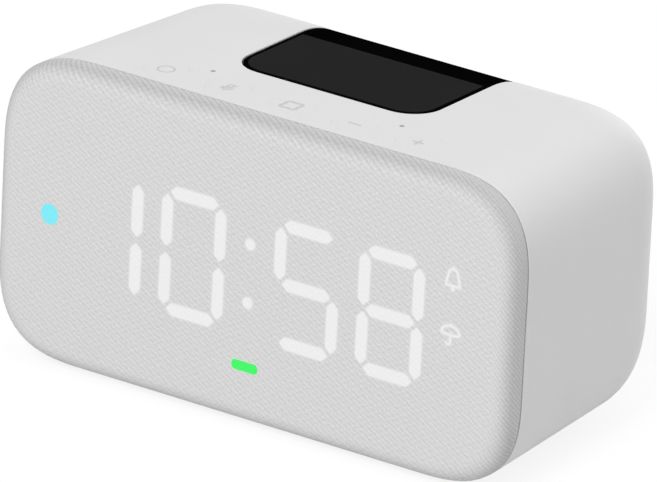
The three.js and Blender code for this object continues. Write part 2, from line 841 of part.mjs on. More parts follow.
// Along the underside of the key board, back through the baffle and down the main board
function keyRibbon() {
  const x0 = keyRibbonX - keyRibbonWidth / 2;
  const x1 = keyRibbonX + keyRibbonWidth / 2;
  const z0 = keyBoardBottom - ribbonThickness;
  const mainTail = middle + mainBoardHeight / 2 - ribbonTail;
  return join(
    block(x0, x1, keyBoardBack - ribbonTail, mainBoardFront, z0, keyBoardBottom),
    block(x0, x1, mainBoardFront - ribbonThickness, mainBoardFront, mainTail, keyBoardBottom),
  );
}

function speakerLead() {
  const plugFront = mainBoardFront - leadPlugLength;
  const plugHeight = leadSpacing + leadPlugWidth / 2;
  const plug = tile(leadX, middle, leadPlugWidth, plugHeight, plugFront, mainBoardFront);
  const wires = [-1, 1].map((up) => rodAlongY(
    leadX, middle + up * leadSpacing / 2, tagBack, plugFront + leadPlugLength / 2, leadDiameter, pinSides));
  return join(plug, ...wires);
}

// Feet and screws

function footSolid(x, y) {
  const radius = footDiameter / 2;
  const profile = [
    new THREE.Vector2(0, -footProud),
    new THREE.Vector2(radius - footChamfer, -footProud),
    new THREE.Vector2(radius, footChamfer - footProud),
    new THREE.Vector2(radius, footSink),
    new THREE.Vector2(0, footSink),
  ];
  const geometry = new THREE.LatheGeometry(profile, discSides);
  geometry.rotateX(Math.PI / 2);
  geometry.translate(x, y, 0);
  return solidFrom(geometry);
}

function chassisScrew(x, y) {
  return join(
    rodAlongZ(x, y, footSink + screwGap, screwSeat, screwHeadDiameter),
    rodAlongZ(x, y, screwSeat - screwGap, screwSeat + screwLength, screwDiameter, pinSides),
  );
}

function boardScrew(x, z) {
  return join(
    rodAlongY(x, z, mainBoardBack, mainBoardBack + screwHead, screwHeadDiameter),
    rodAlongY(x, z, mainBoardBack - screwLength, mainBoardBack + screwGap, screwDiameter, pinSides),
  );
}

function speakerScrew(x, z) {
  const tip = speakerFront + speakerScrewLength;
  return join(
    rodAlongY(x, z, speakerFront - screwHead, speakerFront, speakerScrewHead),
    rodAlongY(x, z, speakerFront - screwGap, tip, speakerScrewDiameter, pinSides),
  );
}

// Assembly

const displayPlate = displayOutline(displayFlange);
const surround = [coneRadius + softGap, basketMouth - softGap, coneFront, surroundThickness];
const keyBoard = [-keyBoardHalf, keyBoardHalf, keyBoardFront, keyBoardBack, keyBoardBottom, keyBoardTop];
const topPlate = [coilRadius + magneticGap, topPlateRadius, basketEnd, magnetFront];

piece('body_shell', bodyShell(), whitePlastic);
piece('fabric_cover', fabricCover(), cloth);
piece('grille_frame', grilleFrame(), darkPlastic);
piece('rear_panel', rearPanel(), blackPanel);
piece('panel_pad', padSpace(0, padTop), padGrey);

piece('display_film', frontPrism(displayOutline(0), grilleInset, filmBack), milkyFilm);
piece('display_reflector', displayReflector(), darkPlastic);
piece('display_board', frontPrism(displayPlate, reflectorBack, displayBoardBack), boardGreen);

keyNames.forEach((name, k) => {
  piece(`key_${name}`, keySolid(keyXs[k]), whitePlastic);
  piece(`switch_${name}`, switchSolid(keyXs[k]), jackPlastic);
});
piece('key_board', block(...keyBoard), boardGreen);
for (const { label, x } of microphones) {
  piece(`microphone_${label}`, microphoneSolid(x), steel);
  piece(`mic_gasket_${label}`, gasketSolid(x), rubber);
}

piece('inner_chassis', innerChassis(), darkPlastic);

piece('speaker_basket', speakerBasket(), steel);
piece('speaker_surround', halfRoll(...surround), rubber);
piece('speaker_spider', corrugatedDisc(coilRadius + softGap, spiderOuter, spiderY, spiderThickness), cloth);
piece('speaker_cone', speakerCone(), paper);
piece('dust_cap', dustCap(), paper);
piece('voice_coil', ringSolid(coilRadius - coilWall, coilRadius, coilFront, coilFront + coilLength), copper);
piece('speaker_top_plate', ringSolid(...topPlate), steel);
piece('speaker_magnet', ringSolid(magnetBore, magnetRadius, magnetFront, yokeFront), ferrite);
piece('speaker_yoke', speakerYoke(), steel);

piece('main_board', mainBoard(), boardGreen);
piece('shield_can', tile(canX, middle, canSize, canSize, mainBoardFront - canHeight, mainBoardFront), steel);
piece('dc_jack', dcJack(), jackPlastic);
piece('display_ribbon', displayRibbon(), ribbonFilm);
piece('key_ribbon', keyRibbon(), ribbonFilm);
piece('speaker_lead', speakerLead(), jackPlastic);

for (const { label, x, y } of footPlaces) {
  piece(`foot_${label}`, footSolid(x, y), rubber);
  piece(`chassis_screw_${label}`, chassisScrew(x, y), steel);
}
for (const { label, x, z } of boardCorners) {
  piece(`board_screw_${label}`, boardScrew(x, z), steel);
}
for (const { label, x, z } of speakerCorners) {
  piece(`speaker_screw_${label}`, speakerScrew(x, z), steel);
}

export default assembly;
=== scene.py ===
# Smart clock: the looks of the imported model. +Z up, the front faces -Y, sizes in millimetres unless noted.
import json
import math

import bmesh
import bpy
from mathutils import Matrix, Vector
from mathutils.geometry import delaunay_2d_cdt


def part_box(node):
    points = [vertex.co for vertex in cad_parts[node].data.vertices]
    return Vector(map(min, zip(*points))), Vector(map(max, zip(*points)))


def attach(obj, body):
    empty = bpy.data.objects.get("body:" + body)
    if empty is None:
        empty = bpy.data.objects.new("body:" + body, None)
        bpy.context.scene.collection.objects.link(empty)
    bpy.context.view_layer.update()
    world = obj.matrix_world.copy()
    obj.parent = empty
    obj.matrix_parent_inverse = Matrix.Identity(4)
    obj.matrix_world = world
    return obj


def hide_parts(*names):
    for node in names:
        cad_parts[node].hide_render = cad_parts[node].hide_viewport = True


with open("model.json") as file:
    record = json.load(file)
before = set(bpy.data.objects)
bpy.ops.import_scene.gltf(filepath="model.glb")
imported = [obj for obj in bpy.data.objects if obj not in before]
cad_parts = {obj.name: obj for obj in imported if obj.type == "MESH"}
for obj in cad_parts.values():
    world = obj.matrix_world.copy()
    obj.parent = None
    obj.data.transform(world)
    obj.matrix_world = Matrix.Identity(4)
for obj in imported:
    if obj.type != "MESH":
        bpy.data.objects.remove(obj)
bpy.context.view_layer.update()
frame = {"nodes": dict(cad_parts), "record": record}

# Body sizes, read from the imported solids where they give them
MM = 0.001
shell_low, shell_high = [[value / MM for value in corner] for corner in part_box("body_shell")]
cloth_low, cloth_high = [[value / MM for value in corner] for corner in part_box("fabric_cover")]
FRONT = cloth_low[1]
CLOTH_BACK = cloth_high[1]
SEAM = shell_low[1]
BACK = shell_high[1]
TOP = shell_high[2]
UNDERSIDE = shell_low[2]
MIDDLE = (TOP + UNDERSIDE) / 2
HALF_WIDTH = shell_high[0]
HALF_HEIGHT = (TOP - UNDERSIDE) / 2
BACK_HALF_WIDTH = 56.15
CORNER = 20.8
CORNER_POWER = 2.92
BACK_ROUND = 22.3
BACK_CORNER = 4
WALL = 2.2
RIM_ROUND = 0.15

# Where the top starts to round over into the back, and the matching round of the sides
ROUND_START = BACK - BACK_ROUND
ROUND_CENTRE_Z = HALF_HEIGHT - BACK_ROUND
TAPER = math.atan2(HALF_WIDTH - BACK_HALF_WIDTH, ROUND_START - SEAM)
SIDE_CENTRE_X = BACK_HALF_WIDTH - BACK_ROUND
SIDE_REACH = HALF_WIDTH - SIDE_CENTRE_X - (BACK - SEAM) * math.tan(TAPER)
SIDE_ROUND = SIDE_REACH * math.cos(TAPER) / (1 - math.sin(TAPER))
SIDE_CENTRE_Y = BACK - SIDE_ROUND

# Cloth front
FRONT_ROUND = 3.6
CLOTH_THICKNESS = 0.7
HEM_ROUND = 0.3

# Black panel and its grey pad, as lengths along the top and down the back from the front plane
PANEL_HALF = 22
PANEL_FRONT = 22.3
PANEL_CORNER = 6.5
PANEL_BOTTOM = 17
PANEL_RECESS = 0.1
PANEL_GAP = 0.3
PANEL_EDGE = 0.25
PANEL_FLANGE = 3
PANEL_FLANGE_GAP = 0.3
PANEL_FLANGE_THICKNESS = 1.5
PANEL_FLANGE_TOP = WALL + PANEL_FLANGE_GAP
PANEL_FLANGE_BOTTOM = PANEL_FLANGE_TOP + PANEL_FLANGE_THICKNESS
PAD_MARGIN = 0.9
PAD_BACK_MARGIN = 1
PAD_THICKNESS = 0.5
PAD_GAP = 0.1
PAD_EDGE = 0.12
ARC_START = ROUND_START - FRONT
ARC_END = ARC_START + BACK_ROUND * math.pi / 2
PANEL_END = ARC_END + ROUND_CENTRE_Z + HALF_HEIGHT - PANEL_BOTTOM

# Keys and microphone holes along the top. A hole lies half way between the two keys of each end.
KEY_NAMES = ("action", "mic_mute", "alarm", "volume_down", "volume_up")
KEY_PITCH = 14.62
KEY_Y = FRONT + 11.56
KEY_RADIUS = 4.5
KEY_GAP = 0.015
KEY_EDGE = 0.02
KEY_LIP_TOP = 2.5
KEY_LIP_BOTTOM = 3.5
KEY_LIP = 0.9
KEY_STEM_RADIUS = 1.8
KEY_STEM_BOTTOM = 4.7
MIC_PITCHES = 1.5
MIC_X = MIC_PITCHES * KEY_PITCH
MIC_Y = FRONT + 16.74
MIC_RADIUS = 0.45
MIC_EDGE = 0.08
PRINT_LINE = 0.62
THIN_PRINT_LINE = 0.47
THICK_PRINT_LINE = 0.76

# Lit marks on the front, from the middle of the face: dot as x, z and radii, bar as x, z and sides
DIGIT_HEIGHT = 26.5
DIGIT_WIDTH = 15.2
SEGMENT_WIDTH = 2.75
SEGMENT_GAP = 0.5
SEGMENT_SOFTNESS = 0.4
DIGIT_CELLS = ((-32.6, "1"), (-13.22, "0"), (13.22, "5"), (32.6, "8"))
GLOW = 0.14
COLON_RADIUS = 1.25
COLON_REACH = 5.95
STATUS_DOT = (-46.9, -0.05, 2.02, 2.11)
STATUS_BAR = (-0.05, -19, 6.12, 2.05)
STATUS_BAR_CORNER = 1.02
SIGN_X = 46.42
BELL_RISE = 11.6
SIGN_LINE = 0.4
SIGN_GLOW_LINE = 0.86
CLAPPER_LINE = 0.7

# Feet and power inlet
FOOT_X = 30.99
FOOT_YS = (("front", FRONT + 14.5), ("back", FRONT + 41.5))
FOOT_RADIUS = 4.5
FOOT_SINK = 0.6
FOOT_ROUND = 0.35
FOOT_GAP = 0.3
FOOT_RIM = 1
FOOT_DISH = 0.12
FOOT_DISH_SLOPE = 0.2
SCREW_SEAT = 1.6
SCREW_HEAD_HOLE = 2.15
SCREW_HOLE = 1.25
INLET_RADIUS = 5
INLET_EDGE = 0.35
JACK_CORNER = 0.8
JACK_EDGE = 0.3
JACK_BORE_RADIUS = 3.15
JACK_BORE_DEPTH = 9.5
JACK_PIN_RADIUS = 1
JACK_PIN_SETBACK = 1
JACK_PIN_TIP = 0.2

# Facets and tolerances, with WELD in metres
CORNER_STEPS = 20
BACK_STEPS = 24
ROLL_STEPS = 14
EDGE_STEPS = 4
PANEL_CORNER_STEPS = 10
BAR_CORNER_STEPS = 6
SOFT_CORNER_STEPS = 3
ARC_STEPS = 12
SHORT_ARC_STEPS = 8
ROUND_SIDES = 64
SMALL_SIDES = 24
LINE_END_SIDES = 10
BAR_END_SIDES = 8
PRINT_END_SIDES = 6
SIDE_SHARES = (0, 0.1, 0.4, 0.7)
SHARP_DEGREES = 40
CUT_PAST = 1
WELD = 2e-7
FILL_STEP = 1e-5


# Mesh tools

def at(x, y, z):
    """A point of the frame in metres, from millimetres."""
    return Vector((x, y, z)) * MM


def section(half_x, half_z, corner):
    """Points round a rounded rectangle with full corners, as (x, z) from its centre."""
    points = []
    for sign_x, sign_z in ((1, 1), (-1, 1), (-1, -1), (1, -1)):
        for step in range(CORNER_STEPS + 1):
            share = step / CORNER_STEPS
            turn = (share if sign_x * sign_z > 0 else 1 - share) * math.pi / 2
            across = abs(math.cos(turn))
            along = abs(math.sin(turn))
            reach = corner / (across ** CORNER_POWER + along ** CORNER_POWER) ** (1 / CORNER_POWER)
            x = sign_x * (half_x - corner + reach * across)
            z = sign_z * (half_z - corner + reach * along)
            points.append((x, z))
    return points


def circle(x, y, radius, sides, other_radius=None):
    tall = other_radius or radius
    turns = [2 * math.pi * k / sides for k in range(sides)]
    return [(x + radius * math.cos(turn), y + tall * math.sin(turn)) for turn in turns]


def quarter(steps=EDGE_STEPS):
    """Sines and cosines of a quarter turn."""
    turns = [math.pi / 2 * k / steps for k in range(steps + 1)]
    return [(math.sin(turn), math.cos(turn)) for turn in turns]


def soften(points, radius, steps=SOFT_CORNER_STEPS):
    """A polygon with its corners rounded."""
    result = []
    count = len(points)
    for k, point in enumerate(points):
        here = Vector(point)
        before = Vector(points[k - 1]) - here
        after = Vector(points[(k + 1) % count]) - here
        start = here + before.normalized() * min(radius, before.length / 2)
        end = here + after.normalized() * min(radius, after.length / 2)
        for step in range(steps + 1):
            share = step / steps
            first = start.lerp(here, share)
            second = here.lerp(end, share)
            result.append(tuple(first.lerp(second, share)))
    return result


def stroke(points, width, sides=LINE_END_SIDES, closed=False):
    """Polygons that together draw a line of even width with round ends."""
    polygons = [circle(x, y, width / 2, sides) for x, y in points]
    ends = list(points[1:]) + ([points[0]] if closed else [])
    for start, end in zip(points, ends):
        along = Vector(end) - Vector(start)
        if along.length > FILL_STEP:
            aside = along.orthogonal().normalized() * width / 2
            corners = [Vector(start) + aside, Vector(end) + aside]
            corners += [Vector(end) - aside, Vector(start) - aside]
            polygons.append([tuple(corner) for corner in corners])
    return polygons


def encloses(polygon, x, y):
    """Whether a point lies inside a polygon."""
    inside = False
    for (ax, ay), (bx, by) in zip(polygon, polygon[1:] + polygon[:1]):
        if (ay > y) != (by > y) and x < ax + (y - ay) * (bx - ax) / (by - ay):
            inside = not inside
    return inside


class Builder:
    """Collects one closed mesh from rings of points and filled outlines."""

    def __init__(self):
        self.bm = bmesh.new()
        self.flat = {}

    def ring(self, points, flat=()):
        verts = [self.bm.verts.new(point) for point in points]
        self.flat.update(zip(verts, flat))
        return verts

    def bridge(self, first, second, paint=0):
        count = len(first)
        for k in range(count):
            after = (k + 1) % count
            face = self.bm.faces.new((first[k], first[after], second[after], second[k]))
            face.material_index = paint

    def tube(self, rings, close_start=False, close_end=False, paint=0):
        loops = [self.ring(points) for points in rings]
        for first, second in zip(loops, loops[1:]):
            self.bridge(first, second, paint)
        if close_start:
            self.bm.faces.new(loops[0])
        if close_end:
            self.bm.faces.new(loops[-1])

    def turned(self, profile, place, sides=ROUND_SIDES, open_start=False, paint=0):
        """A profile of (radius, height) points turned about an axis, closed at its end, and at its start
        unless open_start is set.
        """
        rings = []
        for radius, height in profile:
            rings.append([place(x, y, height) for x, y in circle(0, 0, radius, sides)])
        self.tube(rings, close_start=not open_start, close_end=True, paint=paint)

    def patch(self, outline, place, regions=(), lines=()):
        """Fills an outline. Regions are (material index, polygons), and lines join its points."""
        shapes = [(0, outline)]
        for paint, polygons in regions:
            shapes.extend((paint, polygon) for polygon in polygons)
        points = []
        edges = list(lines)
        spans = []
        for paint, polygon in shapes:
            first = len(points)
            count = len(polygon)
            points.extend(Vector(point) for point in polygon)
            edges.extend((first + k, first + (k + 1) % count) for k in range(count))
            heights = [point[1] for point in polygon]
            spans.append((min(heights), max(heights)))
        made = delaunay_2d_cdt(points, edges, [], 0, FILL_STEP)
        flat = [tuple(point) for point in made[0]]
        verts = self.ring([place(*point) for point in flat], flat)
        for triangle in made[2]:
            x, y = sum((made[0][k] for k in triangle), Vector((0, 0))) / len(triangle)
            paints = []
            for (paint, polygon), (low, high) in zip(shapes, spans):
                if low < y < high and encloses(polygon, x, y):
                    paints.append(paint)
            if 0 in paints:
                face = self.bm.faces.new([verts[k] for k in triangle])
                face.material_index = max(paints)

    def piece(self, name, materials, flat_layer=None):
        if flat_layer:
            layer = self.bm.loops.layers.uv.new(flat_layer)
            for face in self.bm.faces:
                for corner in face.loops:
                    corner[layer].uv = self.flat[corner.vert]
        bmesh.ops.remove_doubles(self.bm, verts=self.bm.verts, dist=WELD)
        loose = [vert for vert in self.bm.verts if not vert.link_faces]
        bmesh.ops.delete(self.bm, geom=loose, context="VERTS")
        bmesh.ops.recalc_face_normals(self.bm, faces=self.bm.faces)
        mesh = bpy.data.meshes.new(name)
        self.bm.to_mesh(mesh)
        self.bm.free()
        for material in materials:
            mesh.materials.append(material)
        made = bpy.data.objects.new(name, mesh)
        bpy.context.scene.collection.objects.link(made)
        return made


def settle(piece):
    """Applies the modifiers of a piece to its mesh."""
    before = piece.data
    shaped = piece.evaluated_get(bpy.context.evaluated_depsgraph_get())
    piece.data = bpy.data.meshes.new_from_object(shaped)
    piece.modifiers.clear()
    bpy.data.meshes.remove(before)


def carve(piece, cutter):
    """Cuts one piece by another, and joins points that the cut leaves on top of each other."""
    change = piece.modifiers.new("carve", "BOOLEAN")
    change.operation = "DIFFERENCE"
    change.solver = "EXACT"
    change.object = cutter
    settle(piece)
    bpy.data.meshes.remove(cutter.data)
    cut = bmesh.new()
    cut.from_mesh(piece.data)
    bmesh.ops.remove_doubles(cut, verts=cut.verts, dist=WELD)
    cut.to_mesh(piece.data)
    cut.free()


def polish(piece):
    """Smooth shading that keeps flat faces flat beside their rounded edges."""
    mesh = piece.data
    mesh.shade_smooth()
    mesh.set_sharp_from_angle(angle=math.radians(SHARP_DEGREES))
    change = piece.modifiers.new("even", "WEIGHTED_NORMAL")
    change.keep_sharp = True
    settle(piece)


def dress(piece, body, slot, *nodes):
    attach(piece, body)
    if nodes:
        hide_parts(*nodes)


# Materials
NOISE_DETAIL = 2
NOISE_LOW = 0.3
NOISE_HIGH = 0.7
SLOW_RATIO = 60
SLOW_DETAIL = 3
GLOSS_DRIFT = 0.05
GRAIN_BUMP = 0.5


def add_node(tree, kind, inputs=None, **settings):
    node = tree.nodes.new(kind)
    for key, value in settings.items():
        setattr(node, key, value)
    for key, value in (inputs or {}).items():
        if isinstance(value, bpy.types.NodeSocket):
            tree.links.new(value, node.inputs[key])
        else:
            node.inputs[key].default_value = value
    return node


def new_material(name, **sockets):
    material = bpy.data.materials.new(name)
    material.use_nodes = True
    shader = material.node_tree.nodes["Principled BSDF"]
    for key, value in sockets.items():
        shader.inputs[key.replace("_", " ")].default_value = value
    return material, material.node_tree, shader


def grey(value):
    return (value, value, value, 1)


def mix_colours(tree, share, first, second):
    mix = add_node(tree, "ShaderNodeMix", data_type="RGBA")
    tree.links.new(share, mix.inputs["Factor"])
    mix.inputs["A"].default_value = first
    mix.inputs["B"].default_value = second
    return mix.outputs["Result"]


def noise_of(tree, scale, detail=NOISE_DETAIL, stretch=(1, 1, 1)):
    """Noise in object space, with scale in features for each metre."""
    place = add_node(tree, "ShaderNodeTexCoord")
    sized = add_node(tree, "ShaderNodeMapping", {"Vector": place.outputs["Object"]})
    sized.inputs["Scale"].default_value = stretch
    noise = add_node(tree, "ShaderNodeTexNoise", {"Vector": sized.outputs["Vector"]})
    noise.inputs["Scale"].default_value = scale
    noise.inputs["Detail"].default_value = detail
    return noise.outputs["Fac"]


def bump_into(tree, shader, height, strength, distance_mm):
    bump = add_node(tree, "ShaderNodeBump", {"Height": height})
    bump.inputs["Strength"].default_value = strength
    bump.inputs["Distance"].default_value = distance_mm * MM
    tree.links.new(bump.outputs["Normal"], shader.inputs["Normal"])


def spread(tree, value, low, high):
    """Maps the usual range of a noise onto low to high."""
    ranged = add_node(tree, "ShaderNodeMapRange", {"Value": value})
    ranged.inputs["From Min"].default_value = NOISE_LOW
    ranged.inputs["From Max"].default_value = NOISE_HIGH
    ranged.inputs["To Min"].default_value = low
    ranged.inputs["To Max"].default_value = high
    return ranged.outputs["Result"]


def moulded(
    name, dark, light, roughness,
    grain=4000, depth_mm=0.01, specular=0.5, stretch=(1, 1, 1), metal=0,
):
    """A moulded or rolled surface: fine grain in the relief, slow drift in colour and gloss."""
    material, tree, shader = new_material(name, Specular_IOR_Level=specular, Metallic=metal)
    fine = noise_of(tree, grain, stretch=stretch)
    slow = noise_of(tree, grain / SLOW_RATIO, SLOW_DETAIL)
    tree.links.new(mix_colours(tree, slow, dark, light), shader.inputs["Base Color"])
    gloss = spread(tree, fine, roughness - GLOSS_DRIFT, roughness + GLOSS_DRIFT)
    tree.links.new(gloss, shader.inputs["Roughness"])
    bump_into(tree, shader, fine, GRAIN_BUMP, depth_mm)
    return material


# Weave of the cloth: waves as (cycles for each mm along x, along z, weight)
WEAVE_WAVES = ((0.57, 0.97, 1), (0.46, -0.80, 0.4), (0.45, 0.45, 0.36), (0.03, 0.81, 0.22))
WEAVE_DRIFT_SCALE = 0.9
WEAVE_WANDER = 2.4
WEAVE_REACH = 2.2
FIBRE_SCALE = 2.6
FIBRE_WEIGHT = 8

# Cloth colours by the share of the roll behind the face: valley and ridge of the ribs. Both darken over the
# roll as painted shade, and the darker valley colour is painted shade in the weave.
ROLL_SHARES = (0, 0.025, 0.2, 0.4, 0.72)
SHADED_VALLEY_GREYS = (0.643, 0.61, 0.525, 0.485, 0.565)
SHADED_RIDGE_GREYS = (0.78, 0.775, 0.69, 0.645, 0.72)
# Height in millimetres over which the painted shade on the roll fades in from the bottom edge
ROLL_SHADE_FADE = 16
RIB_SHARE = 0.6
ROLL_STRETCH_X = 2.0
ROLL_STRETCH_Z = 0.9

# Finish of the cloth and of the marks that shine through it, with reliefs in millimetres
CLOTH_ROUGHNESS = 0.95
CLOTH_SPECULAR = 0.15
CLOTH_SHEEN = 0.05
CLOTH_SHEEN_ROUGHNESS = 0.5
CLOTH_BUMP = 0.3
CLOTH_RELIEF = 0.12
LIT_BASE = 0.06
LIT_VALLEY = 0.95
LIT_ROUGHNESS = 0.9
LIT_SPECULAR = 0.1
LIT_BUMP = 0.15
LIT_RELIEF = 0.1


def weave_of(tree):
    """Relief of the stretched twill and of its ribs alone, from the flat coordinates in millimetres."""
    flat = add_node(tree, "ShaderNodeUVMap", uv_map="cloth_flat")
    drift = add_node(tree, "ShaderNodeTexNoise", {"Vector": flat.outputs["UV"]})
    drift.inputs["Scale"].default_value = WEAVE_DRIFT_SCALE
    drift.inputs["Detail"].default_value = NOISE_DETAIL

    def wave(along_x, along_z):
        lean = add_node(tree, "ShaderNodeVectorMath", {0: flat.outputs["UV"]}, operation="DOT_PRODUCT")
        lean.inputs[1].default_value = (2 * math.pi * along_x, 2 * math.pi * along_z, 0)
        shifted = add_node(tree, "ShaderNodeMath", {0: drift.outputs["Fac"], 2: lean.outputs["Value"]})
        shifted.operation = "MULTIPLY_ADD"
        shifted.inputs[1].default_value = WEAVE_WANDER
        height = add_node(tree, "ShaderNodeMath", {0: shifted.outputs["Value"]}, operation="SINE")
        return height.outputs["Value"]

    waves = [wave(along_x, along_z) for along_x, along_z, weight in WEAVE_WAVES]
    total = waves[0]
    for height, (along_x, along_z, weight) in zip(waves[1:], WEAVE_WAVES[1:]):
        added = add_node(tree, "ShaderNodeMath", {0: height, 1: weight, 2: total}, operation="MULTIPLY_ADD")
        total = added.outputs["Value"]
    fibre = add_node(tree, "ShaderNodeTexNoise", {"Vector": flat.outputs["UV"]})
    fibre.inputs["Scale"].default_value = FIBRE_SCALE
    fibre.inputs["Detail"].default_value = NOISE_DETAIL
    mixed = add_node(tree, "ShaderNodeMath", {0: fibre.outputs["Fac"], 1: FIBRE_WEIGHT, 2: total})
    mixed.operation = "MULTIPLY_ADD"
    ranged = add_node(tree, "ShaderNodeMapRange", {"Value": mixed.outputs["Value"]})
    ranged.inputs["From Min"].default_value = FIBRE_WEIGHT / 2 - WEAVE_REACH
    ranged.inputs["From Max"].default_value = FIBRE_WEIGHT / 2 + WEAVE_REACH
    ribs = add_node(tree, "ShaderNodeMapRange", {"Value": waves[0]})
    ribs.inputs["From Min"].default_value = -1
    return ranged.outputs["Result"], ribs.outputs["Result"]


def roll_rib_and_shade_share(tree):
    """How far a point lies behind the face, as a share of the roll. It fades out along the bottom edge. It
    masks the painted shade on the roll, which is left off near the bottom where the floor lights the roll.
    """
    place = add_node(tree, "ShaderNodeTexCoord")
    parts = add_node(tree, "ShaderNodeSeparateXYZ", {"Vector": place.outputs["Object"]})
    depth = add_node(tree, "ShaderNodeMapRange", {"Value": parts.outputs["Y"]})
    depth.inputs["From Min"].default_value = FRONT * MM
    depth.inputs["From Max"].default_value = CLOTH_BACK * MM
    rise = add_node(tree, "ShaderNodeMapRange", {"Value": parts.outputs["Z"]})
    rise.inputs["From Min"].default_value = UNDERSIDE * MM
    rise.inputs["From Max"].default_value = (UNDERSIDE + ROLL_SHADE_FADE) * MM
    share = add_node(tree, "ShaderNodeMath", {0: depth.outputs["Result"], 1: rise.outputs["Result"]})
    share.operation = "MULTIPLY"
    return share.outputs["Value"]


def ramp_of(tree, share, values):
    ramp = add_node(tree, "ShaderNodeValToRGB", {"Fac": share})
    stops = ramp.color_ramp.elements
    while len(stops) < len(values):
        stops.new(0.5)
    for stop, position, value in zip(stops, ROLL_SHARES, values):
        stop.position = position
        stop.color = grey(value)
    return ramp.outputs["Color"]


def cloth_look():
    material, tree, shader = new_material("cloth_with_painted_shade", Roughness=CLOTH_ROUGHNESS)
    shader.inputs["Specular IOR Level"].default_value = CLOTH_SPECULAR
    shader.inputs["Sheen Weight"].default_value = CLOTH_SHEEN
    shader.inputs["Sheen Roughness"].default_value = CLOTH_SHEEN_ROUGHNESS
    twill, ribs = weave_of(tree)
    share = roll_rib_and_shade_share(tree)
    opened = add_node(tree, "ShaderNodeMath", {0: share, 1: RIB_SHARE}, operation="MULTIPLY")
    relief = add_node(tree, "ShaderNodeMix", {"A": twill, "B": ribs}, data_type="FLOAT")
    tree.links.new(opened.outputs["Value"], relief.inputs["Factor"])
    height = relief.outputs["Result"]
    cloth = add_node(tree, "ShaderNodeMix", data_type="RGBA")
    tree.links.new(height, cloth.inputs["Factor"])
    # The ramps paint shade: darker colours over the roll, and a darker colour in the weave's valleys
    tree.links.new(ramp_of(tree, share, SHADED_VALLEY_GREYS), cloth.inputs["A"])
    tree.links.new(ramp_of(tree, share, SHADED_RIDGE_GREYS), cloth.inputs["B"])
    tree.links.new(cloth.outputs["Result"], shader.inputs["Base Color"])
    bump_into(tree, shader, height, CLOTH_BUMP, CLOTH_RELIEF)
    return material


def lit_look(name, colour, strength):
    """A mark that glows through the cloth, with the weave still faintly showing."""
    material, tree, shader = new_material(name, Roughness=LIT_ROUGHNESS)
    shader.inputs["Specular IOR Level"].default_value = LIT_SPECULAR
    shader.inputs["Base Color"].default_value = grey(LIT_BASE)
    height = weave_of(tree)[0]
    dim = tuple(value * LIT_VALLEY for value in colour) + (1,)
    full = tuple(colour) + (1,)
    tree.links.new(mix_colours(tree, height, dim, full), shader.inputs["Emission Color"])
    shader.inputs["Emission Strength"].default_value = strength
    bump_into(tree, shader, height, LIT_BUMP, LIT_RELIEF)
    return material


white_plastic = moulded("white_plastic_fine", grey(0.80), grey(0.84), 0.6, depth_mm=0.006, specular=0.22)
key_print = moulded("grey_print", grey(0.61), grey(0.66), 0.6, depth_mm=0.004, specular=0.2)
# Grey for the walls of the microphone holes: painted shade that makes the holes read dark
mic_hole_painted_shade = moulded("mic_hole_painted_shade", grey(0.56), grey(0.62), 0.8, depth_mm=0.006, specular=0.1)
black_panel = moulded("black_panel_matt", grey(0.001), grey(0.003), 0.7, depth_mm=0.008, specular=0)
pad_grey = moulded("pad_dark_grey", grey(0.0135), grey(0.0170), 0.9, depth_mm=0.012, specular=0.02)
foot_rubber = moulded("foot_rubber", grey(0.045), grey(0.06), 0.9, grain=2500, depth_mm=0.02, specular=0.2)
inlet_plastic = moulded("inlet_plastic", grey(0.012), grey(0.018), 0.45, depth_mm=0.005, specular=0.4)
pin_metal = moulded("pin_metal", grey(0.55), grey(0.62), 0.28, stretch=(1, 0.1, 1), metal=1)
cloth_white = cloth_look()
lit_glow = lit_look("lit_glow", (1.0, 1.0, 1.0), 0.72)
lit_white = lit_look("lit_white", (1.0, 1.0, 1.0), 0.815)
lit_cyan = lit_look("lit_cyan", (0.17, 0.80, 0.905), 1.0)
lit_green = lit_look("lit_green", (0.01, 0.905, 0.095), 1.0)

# Looks of the pieces inside, by material slot
INNER_LOOKS = {
    "white_plastic": white_plastic,
    "cloth": moulded(
        "spider_cloth", (0.55, 0.42, 0.22, 1), (0.62, 0.48, 0.27, 1), 0.9, grain=1500, depth_mm=0.08,
    ),
    "dark_plastic": moulded("dark_plastic", grey(0.026), grey(0.036), 0.55, depth_mm=0.012, specular=0.4),
    "black_panel": black_panel,
    "pad_rubber": pad_grey,
    "milky_film": moulded("milky_film", grey(0.80), grey(0.86), 0.4, depth_mm=0.003),
    "circuit_board": moulded(
        "circuit_board", (0.012, 0.09, 0.035, 1), (0.02, 0.13, 0.055, 1), 0.4, grain=900,
    ),
    "steel": moulded("plated_steel", grey(0.48), grey(0.58), 0.32, stretch=(1, 0.08, 1), metal=1),
    "ferrite": moulded("ferrite", grey(0.02), grey(0.035), 0.75, grain=2000, depth_mm=0.03),
    "rubber": foot_rubber,
    "cone_paper": moulded(
        "cone_paper", grey(0.03), grey(0.05), 0.9, grain=1200, depth_mm=0.06, specular=0.2,
    ),
    "copper": moulded(
        "copper_wire", (0.60, 0.26, 0.12, 1), (0.72, 0.36, 0.18, 1), 0.35, stretch=(0.1, 1, 0.1), metal=1,
    ),
    "ribbon_film": moulded(
        "ribbon_film", (0.68, 0.65, 0.57, 1), (0.76, 0.73, 0.65, 1), 0.4, stretch=(1, 0.05, 0.05),
    ),
    "black_plastic": inlet_plastic,
}
for subpart in frame["record"]["subparts"]:
    node = frame["nodes"][subpart["node"]]
    node.data.materials.clear()
    node.data.materials.append(INNER_LOOKS[subpart["material_slot"]])


# Body shell

